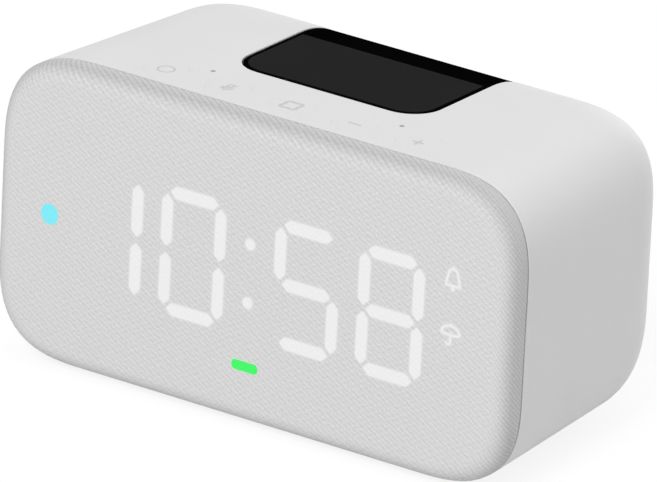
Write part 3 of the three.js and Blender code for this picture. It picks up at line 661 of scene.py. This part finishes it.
def half_width_at(y, inset):
    if y <= SIDE_CENTRE_Y + (SIDE_ROUND - inset) * math.sin(TAPER):
        return HALF_WIDTH - max(y - SEAM, 0) * math.tan(TAPER) - inset / math.cos(TAPER)
    return SIDE_CENTRE_X + math.sqrt(max((SIDE_ROUND - inset) ** 2 - (y - SIDE_CENTRE_Y) ** 2, 0))


def body_ring(y, inset, rise=0.0):
    """The body's section at y, moved in by inset. Rise is how far the back has rounded, from 0 to 1."""
    half_z = HALF_HEIGHT - inset - (BACK_ROUND - inset) * rise
    corner = CORNER - inset + (BACK_CORNER - CORNER + inset) * rise
    return [at(x, y, MIDDLE + z) for x, z in section(half_width_at(y, inset), half_z, corner)]


def body_rings(inset, start):
    """Rings from start to the back."""
    rings = [body_ring(start + share * (ROUND_START - start), inset) for share in SIDE_SHARES]
    for sine, cosine in quarter(BACK_STEPS):
        rings.append(body_ring(ROUND_START + (BACK_ROUND - inset) * sine, inset, 1 - cosine))
    return rings


def on_panel(x, along, depth):
    """A point by its length along the top and down the back, and its depth below that surface."""
    if along <= ARC_START:
        return at(x, FRONT + along, TOP - depth)
    if along >= ARC_END:
        return at(x, BACK - depth, MIDDLE + ROUND_CENTRE_Z - (along - ARC_END))
    turn = (along - ARC_START) / BACK_ROUND
    reach = BACK_ROUND - depth
    return at(x, ROUND_START + reach * math.sin(turn), MIDDLE + ROUND_CENTRE_Z + reach * math.cos(turn))


PANEL_LINES = [ARC_START + (ARC_END - ARC_START) * k / BACK_STEPS for k in range(BACK_STEPS + 1)]


def panel_outline(grow):
    """The panel's outline moved out by grow. Both sides have a point at each of the panel's lines."""
    half = PANEL_HALF + grow
    radius = PANEL_CORNER + grow
    front = PANEL_FRONT - grow + radius
    end = PANEL_END + grow - radius
    bend = quarter(PANEL_CORNER_STEPS)
    points = [(half - radius + radius * sine, front - radius * cosine) for sine, cosine in bend]
    points += [(half, along) for along in PANEL_LINES]
    points += [(half - radius + radius * cosine, end + radius * sine) for sine, cosine in bend]
    points += [(radius - half - radius * sine, end + radius * cosine) for sine, cosine in bend]
    points += [(-half, along) for along in reversed(PANEL_LINES)]
    points += [(radius - half - radius * cosine, front - radius * sine) for sine, cosine in bend]
    return points


def panel_stack(builder, chain):
    """A closed solid that follows the panel's surface, from (grow, depth) steps."""
    builder.tube([[on_panel(x, along, depth) for x, along in panel_outline(grow)] for grow, depth in chain])
    for grow, depth in (chain[0], chain[-1]):
        outline = panel_outline(grow)
        place = {}
        for k, (x, along) in enumerate(outline):
            if along in PANEL_LINES:
                place.setdefault(along, []).append(k)
        lines = [pair for pair in place.values() if len(pair) == 2]
        builder.patch(outline, lambda x, along, level=depth: on_panel(x, along, level), lines=lines)


def mouth(radius, edge, level, through):
    """A hole with a rounded mouth as (width, depth) steps, for a cutter that starts outside."""
    profile = [(radius + edge, level - CUT_PAST), (radius + edge, level)]
    profile += [(radius + edge * (1 - sine), level + edge * (1 - cosine)) for sine, cosine in quarter()[1:]]
    return profile + [(radius, through)]


def edged(radius, edge, level):
    """The profile of a round piece's rounded edge, from its end face to its side."""
    return [(radius + edge * (sine - 1), level + edge * (1 - cosine)) for sine, cosine in quarter()]


key_xs = [(k - len(KEY_NAMES) // 2) * KEY_PITCH for k in range(len(KEY_NAMES))]
feet = []
for end, y in FOOT_YS:
    feet += [(f"{end}_left", -FOOT_X, y), (f"{end}_right", FOOT_X, y)]

shell = Builder()
rim_outside = []
rim_inside = []
for sine, cosine in quarter():
    rim_outside.append(body_ring(SEAM + RIM_ROUND * (1 - sine), RIM_ROUND * (1 - cosine)))
    rim_inside.append(body_ring(SEAM + RIM_ROUND * (1 - cosine), WALL - RIM_ROUND * (1 - sine)))
outside = body_rings(0, SEAM + RIM_ROUND)
inside = body_rings(WALL, SEAM + RIM_ROUND)
shell.tube(outside[:0:-1] + rim_outside + rim_inside + inside[1:], close_start=True, close_end=True)
shell_piece = shell.piece("moulded_shell", [white_plastic, mic_hole_painted_shade])

cutter = Builder()
panel_stack(cutter, mouth(PANEL_GAP, PANEL_EDGE, 0, WALL + CUT_PAST))
for x in key_xs:
    profile = mouth(KEY_RADIUS + KEY_GAP, KEY_EDGE, 0, WALL + CUT_PAST)
    cutter.turned(profile, lambda u, v, depth, x=x: at(x + u, KEY_Y + v, TOP - depth))
for sign in (-1, 1):
    profile = mouth(MIC_RADIUS, MIC_EDGE, 0, WALL + CUT_PAST)
    place = lambda u, v, depth, x=sign * MIC_X: at(x + u, MIC_Y + v, TOP - depth)
    # The holes' walls take the second slot, the grey of painted shade inside the holes
    cutter.turned(profile, place, SMALL_SIDES, paint=1)
for label, x, y in feet:
    profile = [
        (FOOT_RADIUS + FOOT_GAP, -CUT_PAST),
        (FOOT_RADIUS + FOOT_GAP, FOOT_SINK),
        (SCREW_HEAD_HOLE, FOOT_SINK),
        (SCREW_HEAD_HOLE, SCREW_SEAT),
        (SCREW_HOLE, SCREW_SEAT),
        (SCREW_HOLE, WALL + CUT_PAST),
    ]
    cutter.turned(profile, lambda u, v, depth, x=x, y=y: at(x + u, y + v, UNDERSIDE + depth))
carve(shell_piece, cutter.piece("shell_cutter", [white_plastic, mic_hole_painted_shade]))
polish(shell_piece)
dress(shell_piece, "clock", "white_plastic", "body_shell")


# Black panel with the power inlet, and the grey pad let into its flat top

def pad_outline(grow):
    half = PANEL_HALF - PAD_MARGIN + grow
    radius = PANEL_CORNER - PAD_MARGIN + grow
    front = PANEL_FRONT + PAD_MARGIN - grow + radius
    end = ARC_START - PAD_BACK_MARGIN + grow
    bend = quarter(PANEL_CORNER_STEPS)
    points = [(half - radius + radius * sine, front - radius * cosine) for sine, cosine in bend]
    points += [(half, end), (-half, end)]
    points += [(radius - half - radius * cosine, front - radius * sine) for sine, cosine in bend]
    return points


def pad_stack(builder, chain):
    """A closed solid with the pad's outline, from (grow, depth) steps."""
    rings = [[on_panel(x, along, depth) for x, along in pad_outline(grow)] for grow, depth in chain]
    builder.tube(rings, close_start=True, close_end=True)


PAD_BOTTOM = PANEL_RECESS + PAD_THICKNESS
panel = Builder()
chain = [(-PANEL_EDGE * (1 - sine), PANEL_RECESS + PANEL_EDGE * (1 - cosine)) for sine, cosine in quarter()]
chain += [(0, PANEL_FLANGE_TOP), (PANEL_FLANGE, PANEL_FLANGE_TOP), (PANEL_FLANGE, PANEL_FLANGE_BOTTOM)]
panel_stack(panel, chain)
panel_piece = panel.piece("back_panel", [black_panel])
hollows = Builder()
profile = mouth(INLET_RADIUS, INLET_EDGE, PANEL_RECESS, PANEL_FLANGE_BOTTOM + CUT_PAST)
hollows.turned(profile, lambda u, v, depth: at(u, BACK - depth, MIDDLE + v))
pad_stack(hollows, [(PAD_GAP, -CUT_PAST), (PAD_GAP, PAD_BOTTOM)])
carve(panel_piece, hollows.piece("panel_cutter", []))
polish(panel_piece)
dress(panel_piece, "clock", "black_panel", "rear_panel")

pad = Builder()
chain = [(-PAD_EDGE * (1 - sine), PANEL_RECESS + PAD_EDGE * (1 - cosine)) for sine, cosine in quarter()]
pad_stack(pad, chain + [(0, PAD_BOTTOM)])
pad_piece = pad.piece("grey_pad", [pad_grey])
polish(pad_piece)
dress(pad_piece, "clock", "pad_rubber", "panel_pad")


# Cloth front with its lit marks. The signs are drawn from their centres, rising with z.
BELL_SIDE = ((1.6, -1.85), (1.32, -0.42), (1.0, 0.75), (0.62, 1.3))
BELL_CROWN = 1.55
BELL_KNOB = (1.6, 1.85)
BELL_CLAPPER = (-2.2, -2.6)
CANOPY_LEVEL = 0.2
CANOPY_HALF = 2.05
CANOPY_RISE = 1.5
CANOPY_SAG = 0.35
HANDLE_TOP = 0.1
HANDLE_BOTTOM = -1.6
HOOK_RADIUS = 0.5
HOOK_TURN = -150
UMBRELLA_KNOB = (1.7, 1.95)


def segment(x, z, length, upright, grow):
    half = SEGMENT_WIDTH / 2 + grow
    tip = length / 2 + grow
    flat = tip - half
    hexagon = [(-tip, 0), (-flat, -half), (flat, -half), (tip, 0), (flat, half), (-flat, half)]
    placed = [(x - v, z + u) if upright else (x + u, z + v) for u, v in hexagon]
    return soften(placed, SEGMENT_SOFTNESS + grow)


def digit(x, figure, grow):
    row = (DIGIT_HEIGHT - SEGMENT_WIDTH) / 2
    column = (DIGIT_WIDTH - SEGMENT_WIDTH) / 2
    across = DIGIT_WIDTH - SEGMENT_WIDTH - 2 * SEGMENT_GAP
    upright = row - 2 * SEGMENT_GAP
    segments = {
        "top": segment(x, row, across, False, grow),
        "centre": segment(x, 0, across, False, grow),
        "bottom": segment(x, -row, across, False, grow),
        "upper_left": segment(x - column, row / 2, upright, True, grow),
        "upper_right": segment(x + column, row / 2, upright, True, grow),
        "lower_left": segment(x - column, -row / 2, upright, True, grow),
        "lower_right": segment(x + column, -row / 2, upright, True, grow),
    }
    unlit = {
        "0": ("centre",),
        "1": ("top", "centre", "bottom", "upper_left", "lower_left"),
        "5": ("upper_right", "lower_left"),
        "8": (),
    }
    return [shape for name, shape in segments.items() if name not in unlit[figure]]


def rounded_bar(x, z, width, height, corner):
    corners = [(x - width / 2, z - height / 2), (x + width / 2, z - height / 2)]
    corners += [(x + width / 2, z + height / 2), (x - width / 2, z + height / 2)]
    return soften(corners, corner, BAR_CORNER_STEPS)


def arc(x, z, radius, start, end, steps=ARC_STEPS, other_radius=None):
    tall = other_radius or radius
    turns = [math.radians(start + (end - start) * k / steps) for k in range(steps + 1)]
    return [(x + radius * math.cos(turn), z + tall * math.sin(turn)) for turn in turns]


def bell(x, z, line):
    """An alarm bell drawn in outline, with a knob and a clapper."""
    left = [(x - aside, z + rise) for aside, rise in BELL_SIDE]
    right = [(x + aside, z + rise) for aside, rise in reversed(BELL_SIDE)]
    outline = stroke(left + [(x, z + BELL_CROWN)] + right, line, closed=True)
    knob = stroke([(x, z + rise) for rise in BELL_KNOB], line)
    clapper = stroke([(x, z + rise) for rise in BELL_CLAPPER], line - SIGN_LINE + CLAPPER_LINE)
    return outline + knob + clapper


def umbrella(x, z, line):
    """An open umbrella drawn in outline."""
    canopy = arc(x, z + CANOPY_LEVEL, CANOPY_HALF, 0, 180, other_radius=CANOPY_RISE)
    hem = arc(x, z + CANOPY_LEVEL, CANOPY_HALF, 180, 360, other_radius=CANOPY_SAG)
    hook = arc(x - HOOK_RADIUS, z + HANDLE_BOTTOM, HOOK_RADIUS, 0, HOOK_TURN, SHORT_ARC_STEPS)
    handle = [(x, z + HANDLE_TOP), (x, z + HANDLE_BOTTOM)] + hook
    knob = stroke([(x, z + rise) for rise in UMBRELLA_KNOB], line)
    return stroke(canopy, line) + stroke(hem, line) + stroke(handle, line) + knob


def white_marks(grow, line):
    """Digits, colon and signs, each grown by the width of the glow round it."""
    marks = [shape for x, figure in DIGIT_CELLS for shape in digit(x, figure, grow)]
    marks += [circle(0, sign * COLON_REACH, COLON_RADIUS + grow, SMALL_SIDES) for sign in (-1, 1)]
    return marks + bell(SIGN_X, BELL_RISE, line) + umbrella(SIGN_X, 0, line)


dot_x, dot_z, dot_half_x, dot_half_z = STATUS_DOT
cyan_marks = [circle(dot_x, dot_z, dot_half_x, SMALL_SIDES * 2, dot_half_z)]
green_marks = [rounded_bar(*STATUS_BAR, STATUS_BAR_CORNER)]


def cloth_ring(inset, y, unrolled):
    """A ring of the cloth, and where it lies on the flat weave when the roll is laid out."""
    points = section(HALF_WIDTH - inset, HALF_HEIGHT - inset, CORNER - inset)
    edge = section(HALF_WIDTH - FRONT_ROUND, HALF_HEIGHT - FRONT_ROUND, CORNER - FRONT_ROUND)
    grown = section(HALF_WIDTH - unrolled, HALF_HEIGHT - unrolled, CORNER - unrolled)
    flat = []
    for (from_x, from_z), (to_x, to_z) in zip(edge, grown):
        flat_x = from_x + (to_x - from_x) * ROLL_STRETCH_X
        flat_z = from_z + (to_z - from_z) * ROLL_STRETCH_Z
        flat.append((flat_x, flat_z))
    return [at(x, y, MIDDLE + z) for x, z in points], flat


def cloth_roll(inset):
    """Rings from the flat face round the edge, for the outer side or, moved in, the inner side."""
    radius = FRONT_ROUND - inset
    rings = []
    for sine, cosine in quarter(ROLL_STEPS):
        length = FRONT_ROUND * math.asin(min(sine, 1))
        depth = inset + radius * (1 - cosine)
        rings.append(cloth_ring(inset + radius * (1 - sine), FRONT + depth, FRONT_ROUND - length))
    return rings


cloth = Builder()
ROLLED = FRONT_ROUND * (1 - math.pi / 2)
HEM_START = CLOTH_BACK - HEM_ROUND
chain = cloth_roll(0)
for sine, cosine in quarter():
    run = ROLLED - (HEM_START - FRONT - FRONT_ROUND) - HEM_ROUND * math.asin(min(sine, 1))
    chain.append(cloth_ring(HEM_ROUND * (1 - cosine), HEM_START + HEM_ROUND * sine, run))
hem_end = run - (CLOTH_THICKNESS - HEM_ROUND)
chain.append(cloth_ring(CLOTH_THICKNESS, CLOTH_BACK, hem_end))
chain += list(reversed(cloth_roll(CLOTH_THICKNESS)))
loops = [cloth.ring(points, flat) for points, flat in chain]
for first, second in zip(loops, loops[1:]):
    cloth.bridge(first, second)
face_outline = section(HALF_WIDTH - FRONT_ROUND, HALF_HEIGHT - FRONT_ROUND, CORNER - FRONT_ROUND)
regions = [
    (1, white_marks(GLOW, SIGN_GLOW_LINE)),
    (2, white_marks(-GLOW, SIGN_LINE)),
    (3, cyan_marks),
    (4, green_marks),
]
cloth.patch(face_outline, lambda x, z: at(x, FRONT, MIDDLE + z), regions)
cloth.bm.faces.new(loops[-1])
cloth_paints = [cloth_white, lit_glow, lit_white, lit_cyan, lit_green]
cloth_piece = cloth.piece("front_cloth", cloth_paints, "cloth_flat")
polish(cloth_piece)
dress(cloth_piece, "clock", "cloth", "fabric_cover")


# Keys with printed signs, drawn from each key's centre with y towards the back
RING_RADIUS = 1.65
RING_SIDES = 40
GEAR_RADIUS = 1.86
GEAR_SWELL = 0.32
GEAR_CORNERS = 4
GEAR_POINTS = 48
CAPSULE_RADIUS = 0.55
CAPSULE_TOP = 1
HOLDER_RADIUS = 1.15
HOLDER_LEVEL = -0.1
HOLDER_STEPS = 10
MIC_STAND = ((0, -1.25), (0, -1.9))
MIC_SLASH = ((-1.0, -1.3), (1.0, 1.3))
MINUS_BAR = ((-1.25, 0), (1.25, 0))
PLUS_BAR = ((-1.1, 0), (1.1, 0))
PLUS_POST = ((0, -1.1), (0, 1.1))


def gear_square():
    """A rounded square that swells at its corners, drawn in outline."""
    points = []
    for k in range(GEAR_POINTS):
        turn = 2 * math.pi * k / GEAR_POINTS
        reach = GEAR_RADIUS + GEAR_SWELL * math.cos(GEAR_CORNERS * turn + math.pi)
        points.append((reach * math.cos(turn), reach * math.sin(turn)))
    return stroke(points, THICK_PRINT_LINE, PRINT_END_SIDES, closed=True)


def muted_microphone():
    capsule = arc(0, CAPSULE_TOP, CAPSULE_RADIUS, 0, 180, SHORT_ARC_STEPS)
    capsule += arc(0, 0, CAPSULE_RADIUS, 180, 360, SHORT_ARC_STEPS)
    holder = arc(0, HOLDER_LEVEL, HOLDER_RADIUS, 180, 360, HOLDER_STEPS)
    drawn = stroke(capsule, THIN_PRINT_LINE, PRINT_END_SIDES, closed=True)
    for line in (holder, MIC_STAND, MIC_SLASH):
        drawn += stroke(line, THIN_PRINT_LINE, PRINT_END_SIDES)
    return drawn


action_ring = circle(0, 0, RING_RADIUS, RING_SIDES)
plus_bar = stroke(PLUS_BAR, PRINT_LINE, BAR_END_SIDES)
plus_post = stroke(PLUS_POST, PRINT_LINE, BAR_END_SIDES)
KEY_SIGNS = {
    "action": stroke(action_ring, THIN_PRINT_LINE, PRINT_END_SIDES, closed=True),
    "mic_mute": muted_microphone(),
    "alarm": gear_square(),
    "volume_down": stroke(MINUS_BAR, PRINT_LINE, BAR_END_SIDES),
    "volume_up": plus_bar + plus_post,
}
for name, x in zip(KEY_NAMES, key_xs):
    key = Builder()
    profile = edged(KEY_RADIUS, KEY_EDGE, 0) + [
        (KEY_RADIUS, KEY_LIP_TOP),
        (KEY_RADIUS + KEY_LIP, KEY_LIP_TOP),
        (KEY_RADIUS + KEY_LIP, KEY_LIP_BOTTOM),
        (KEY_STEM_RADIUS, KEY_LIP_BOTTOM),
        (KEY_STEM_RADIUS, KEY_STEM_BOTTOM),
    ]
    key.turned(profile, lambda u, v, depth, x=x: at(x + u, KEY_Y + v, TOP - depth), open_start=True)
    top_outline = circle(0, 0, KEY_RADIUS - KEY_EDGE, ROUND_SIDES)
    key.patch(top_outline, lambda u, v, x=x: at(x + u, KEY_Y + v, TOP), [(1, KEY_SIGNS[name])])
    key_piece = key.piece(f"key_cap_{name}", [white_plastic, key_print])
    polish(key_piece)
    dress(key_piece, f"{name}_key", "white_plastic", f"key_{name}")


# Feet
for label, x, y in feet:
    foot = Builder()
    rim = FOOT_RADIUS - FOOT_RIM
    profile = [(rim - FOOT_DISH_SLOPE, FOOT_DISH), (rim, 0)] + edged(FOOT_RADIUS, FOOT_ROUND, 0)
    profile.append((FOOT_RADIUS, UNDERSIDE + FOOT_SINK))
    foot.turned(profile, lambda u, v, height, x=x, y=y: at(x + u, y + v, height))
    foot_piece = foot.piece(f"rubber_foot_{label}", [foot_rubber])
    polish(foot_piece)
    dress(foot_piece, "clock", "rubber", f"foot_{label}")


# Power inlet behind the panel's hole, with its contact pin
jack_low, jack_high = [[value / MM for value in corner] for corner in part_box("dc_jack")]
jack_width = jack_high[0] - jack_low[0]
jack_height = jack_high[2] - jack_low[2]


def jack_ring(inset, y):
    outline = rounded_bar(0, 0, jack_width - 2 * inset, jack_height - 2 * inset, JACK_CORNER)
    return [at(x, y, MIDDLE + z) for x, z in outline]


def in_jack(u, v, depth):
    return at(u, jack_high[1] - depth, MIDDLE + v)


jack = Builder()
rings = []
for sine, cosine in quarter():
    rings.append(jack_ring(JACK_EDGE * (1 - sine), jack_low[1] + JACK_EDGE * (1 - cosine)))
for sine, cosine in quarter():
    rings.append(jack_ring(JACK_EDGE * (1 - cosine), jack_high[1] - JACK_EDGE * (1 - sine)))
jack.tube(rings, close_start=True, close_end=True)
jack_piece = jack.piece("inlet_socket", [inlet_plastic])
bore = Builder()
bore.turned(mouth(JACK_BORE_RADIUS, JACK_EDGE, 0, JACK_BORE_DEPTH), in_jack)
carve(jack_piece, bore.piece("bore_cutter", []))
polish(jack_piece)
dress(jack_piece, "clock", "black_plastic", "dc_jack")

pin = Builder()
profile = [(JACK_PIN_RADIUS, JACK_BORE_DEPTH + JACK_EDGE)]
for sine, cosine in quarter():
    radius = JACK_PIN_TIP + (JACK_PIN_RADIUS - JACK_PIN_TIP) * cosine
    profile.append((radius, JACK_PIN_SETBACK + JACK_PIN_RADIUS * (1 - sine)))
pin.turned(profile, in_jack, SMALL_SIDES)
pin_piece = pin.piece("inlet_pin", [pin_metal])
polish(pin_piece)
dress(pin_piece, "clock", "steel")


# Camera at the photograph's viewing angle, with angles in degrees and distances in metres
PICTURE_WIDTH = 657
PICTURE_HEIGHT = 482
FOCAL_PIXELS = 12155
CENTRE_PIXEL = (352.5, 225.0)
CAMERA_DISTANCE = 2.329
CAMERA_AZIMUTH = 34.1
CAMERA_ELEVATION = 21.17
CAMERA_ROLL = 2.84
SENSOR_WIDTH = 36
NEAREST_SEEN = 0.1
FURTHEST_SEEN = 20

azimuth = math.radians(CAMERA_AZIMUTH)
elevation = math.radians(CAMERA_ELEVATION)
roll = math.radians(CAMERA_ROLL)
back = Vector((
    math.sin(azimuth) * math.cos(elevation),
    -math.cos(azimuth) * math.cos(elevation),
    math.sin(elevation),
))
level = Vector((math.cos(azimuth), math.sin(azimuth), 0))
upright = back.cross(level)
right = level * math.cos(roll) + upright * math.sin(roll)
up = upright * math.cos(roll) - level * math.sin(roll)
metres_per_pixel = CAMERA_DISTANCE / FOCAL_PIXELS
aim = at(0, 0, MIDDLE)
aim -= right * (CENTRE_PIXEL[0] - PICTURE_WIDTH / 2) * metres_per_pixel
aim -= up * (PICTURE_HEIGHT / 2 - CENTRE_PIXEL[1]) * metres_per_pixel
camera_data = bpy.data.cameras.new("camera")
camera_data.sensor_width = SENSOR_WIDTH
camera_data.lens = FOCAL_PIXELS / PICTURE_WIDTH * SENSOR_WIDTH
camera_data.clip_start = NEAREST_SEEN
camera_data.clip_end = FURTHEST_SEEN
camera = bpy.data.objects.new("camera", camera_data)
facing = Matrix((right, up, back)).transposed().to_4x4()
camera.matrix_world = Matrix.Translation(aim + back * CAMERA_DISTANCE) @ facing
bpy.context.scene.collection.objects.link(camera)
bpy.context.scene.camera = camera


# Soft light, pale floor and white surroundings. A lamp is a name, a direction from the clock, and watts.
AMBIENT = 0.35
LAMPS = (
    ("key_light", (0.06, -0.7, 0.71), 23.8),
    ("front_light", (0.06, -0.96, 0.27), 12.8),
    ("top_light", (0, 0.1, 0.995), 8),
    ("side_light", (0.5, 0.8, 0.3), 7.2),
    ("right_light", (0.94, 0.1, 0.3), 3.2),
    ("back_light", (-0.05, 0.35, 0.09), 16.2),
)
LAMP_DISTANCE = 2.5
LAMP_SIZE = 1.4
FLOOR_RADIUS = 3000
FLOOR_GRAIN = 300
FLOOR_DARK = 0.72
FLOOR_LIGHT = 0.76
FLOOR_SEEN = 0.2
FLOOR_GLOW = 0.84

scene = bpy.context.scene
scene.view_settings.view_transform = "Standard"

for name, aside, power in LAMPS:
    lamp_data = bpy.data.lights.new(name, "AREA")
    lamp_data.energy = power
    lamp_data.shape = "DISK"
    lamp_data.size = LAMP_SIZE
    lamp = bpy.data.objects.new(name, lamp_data)
    direction = Vector(aside).normalized()
    lamp.location = at(0, 0, MIDDLE) + direction * LAMP_DISTANCE
    lamp.rotation_euler = direction.to_track_quat("Z", "Y").to_euler()
    scene.collection.objects.link(lamp)


def seen_directly(tree):
    """1 for rays from the camera, and for those that a shiny or clear surface sends on."""
    rays = add_node(tree, "ShaderNodeLightPath").outputs
    first = add_node(tree, "ShaderNodeMath", {0: rays["Is Camera Ray"], 1: rays["Is Glossy Ray"]})
    first.operation = "MAXIMUM"
    both = add_node(tree, "ShaderNodeMath", {0: first.outputs["Value"], 1: rays["Is Transmission Ray"]})
    both.operation = "MAXIMUM"
    return both.outputs["Value"]


world = bpy.data.worlds.new("white_surroundings")
scene.world = world
world.use_nodes = True
sky = world.node_tree
sky_ambient = sky.nodes["Background"]
sky_ambient.inputs["Color"].default_value = grey(1)
sky_ambient.inputs["Strength"].default_value = AMBIENT
sky_white = add_node(sky, "ShaderNodeBackground", {"Color": grey(1), "Strength": 1.0})
sky_mix = add_node(sky, "ShaderNodeMixShader", {0: seen_directly(sky)})
sky.links.new(sky_ambient.outputs["Background"], sky_mix.inputs[1])
sky.links.new(sky_white.outputs["Background"], sky_mix.inputs[2])
sky.links.new(sky_mix.outputs["Shader"], sky.nodes["World Output"].inputs["Surface"])

floor_material = bpy.data.materials.new("pale_floor")
floor_material.use_nodes = True
ground = floor_material.node_tree
ground.nodes.clear()
ground_grain = noise_of(ground, FLOOR_GRAIN)
ground_colour = mix_colours(ground, ground_grain, grey(FLOOR_DARK), grey(FLOOR_LIGHT))
ground_paint = add_node(ground, "ShaderNodeBsdfDiffuse", {"Color": ground_colour})
ground_bright = add_node(ground, "ShaderNodeBsdfDiffuse", {"Color": grey(FLOOR_SEEN)})
ground_glow = add_node(ground, "ShaderNodeEmission", {"Color": grey(1), "Strength": FLOOR_GLOW})
ground_seen = add_node(ground, "ShaderNodeAddShader")
ground.links.new(ground_bright.outputs["BSDF"], ground_seen.inputs[0])
ground.links.new(ground_glow.outputs["Emission"], ground_seen.inputs[1])
ground_mix = add_node(ground, "ShaderNodeMixShader", {0: seen_directly(ground)})
ground.links.new(ground_paint.outputs["BSDF"], ground_mix.inputs[1])
ground.links.new(ground_seen.outputs["Shader"], ground_mix.inputs[2])
ground_side = add_node(ground, "ShaderNodeNewGeometry")
ground_clear = add_node(ground, "ShaderNodeBsdfTransparent")
ground_top = add_node(ground, "ShaderNodeMixShader", {0: ground_side.outputs["Backfacing"]})
ground.links.new(ground_mix.outputs["Shader"], ground_top.inputs[1])
ground.links.new(ground_clear.outputs["BSDF"], ground_top.inputs[2])
ground_output = add_node(ground, "ShaderNodeOutputMaterial")
ground.links.new(ground_top.outputs["Shader"], ground_output.inputs["Surface"])

floor = Builder()
floor.bm.faces.new(floor.ring([at(x, y, 0) for x, y in circle(0, 0, FLOOR_RADIUS, ROUND_SIDES)]))
floor_piece = floor.piece("floor", [floor_material])
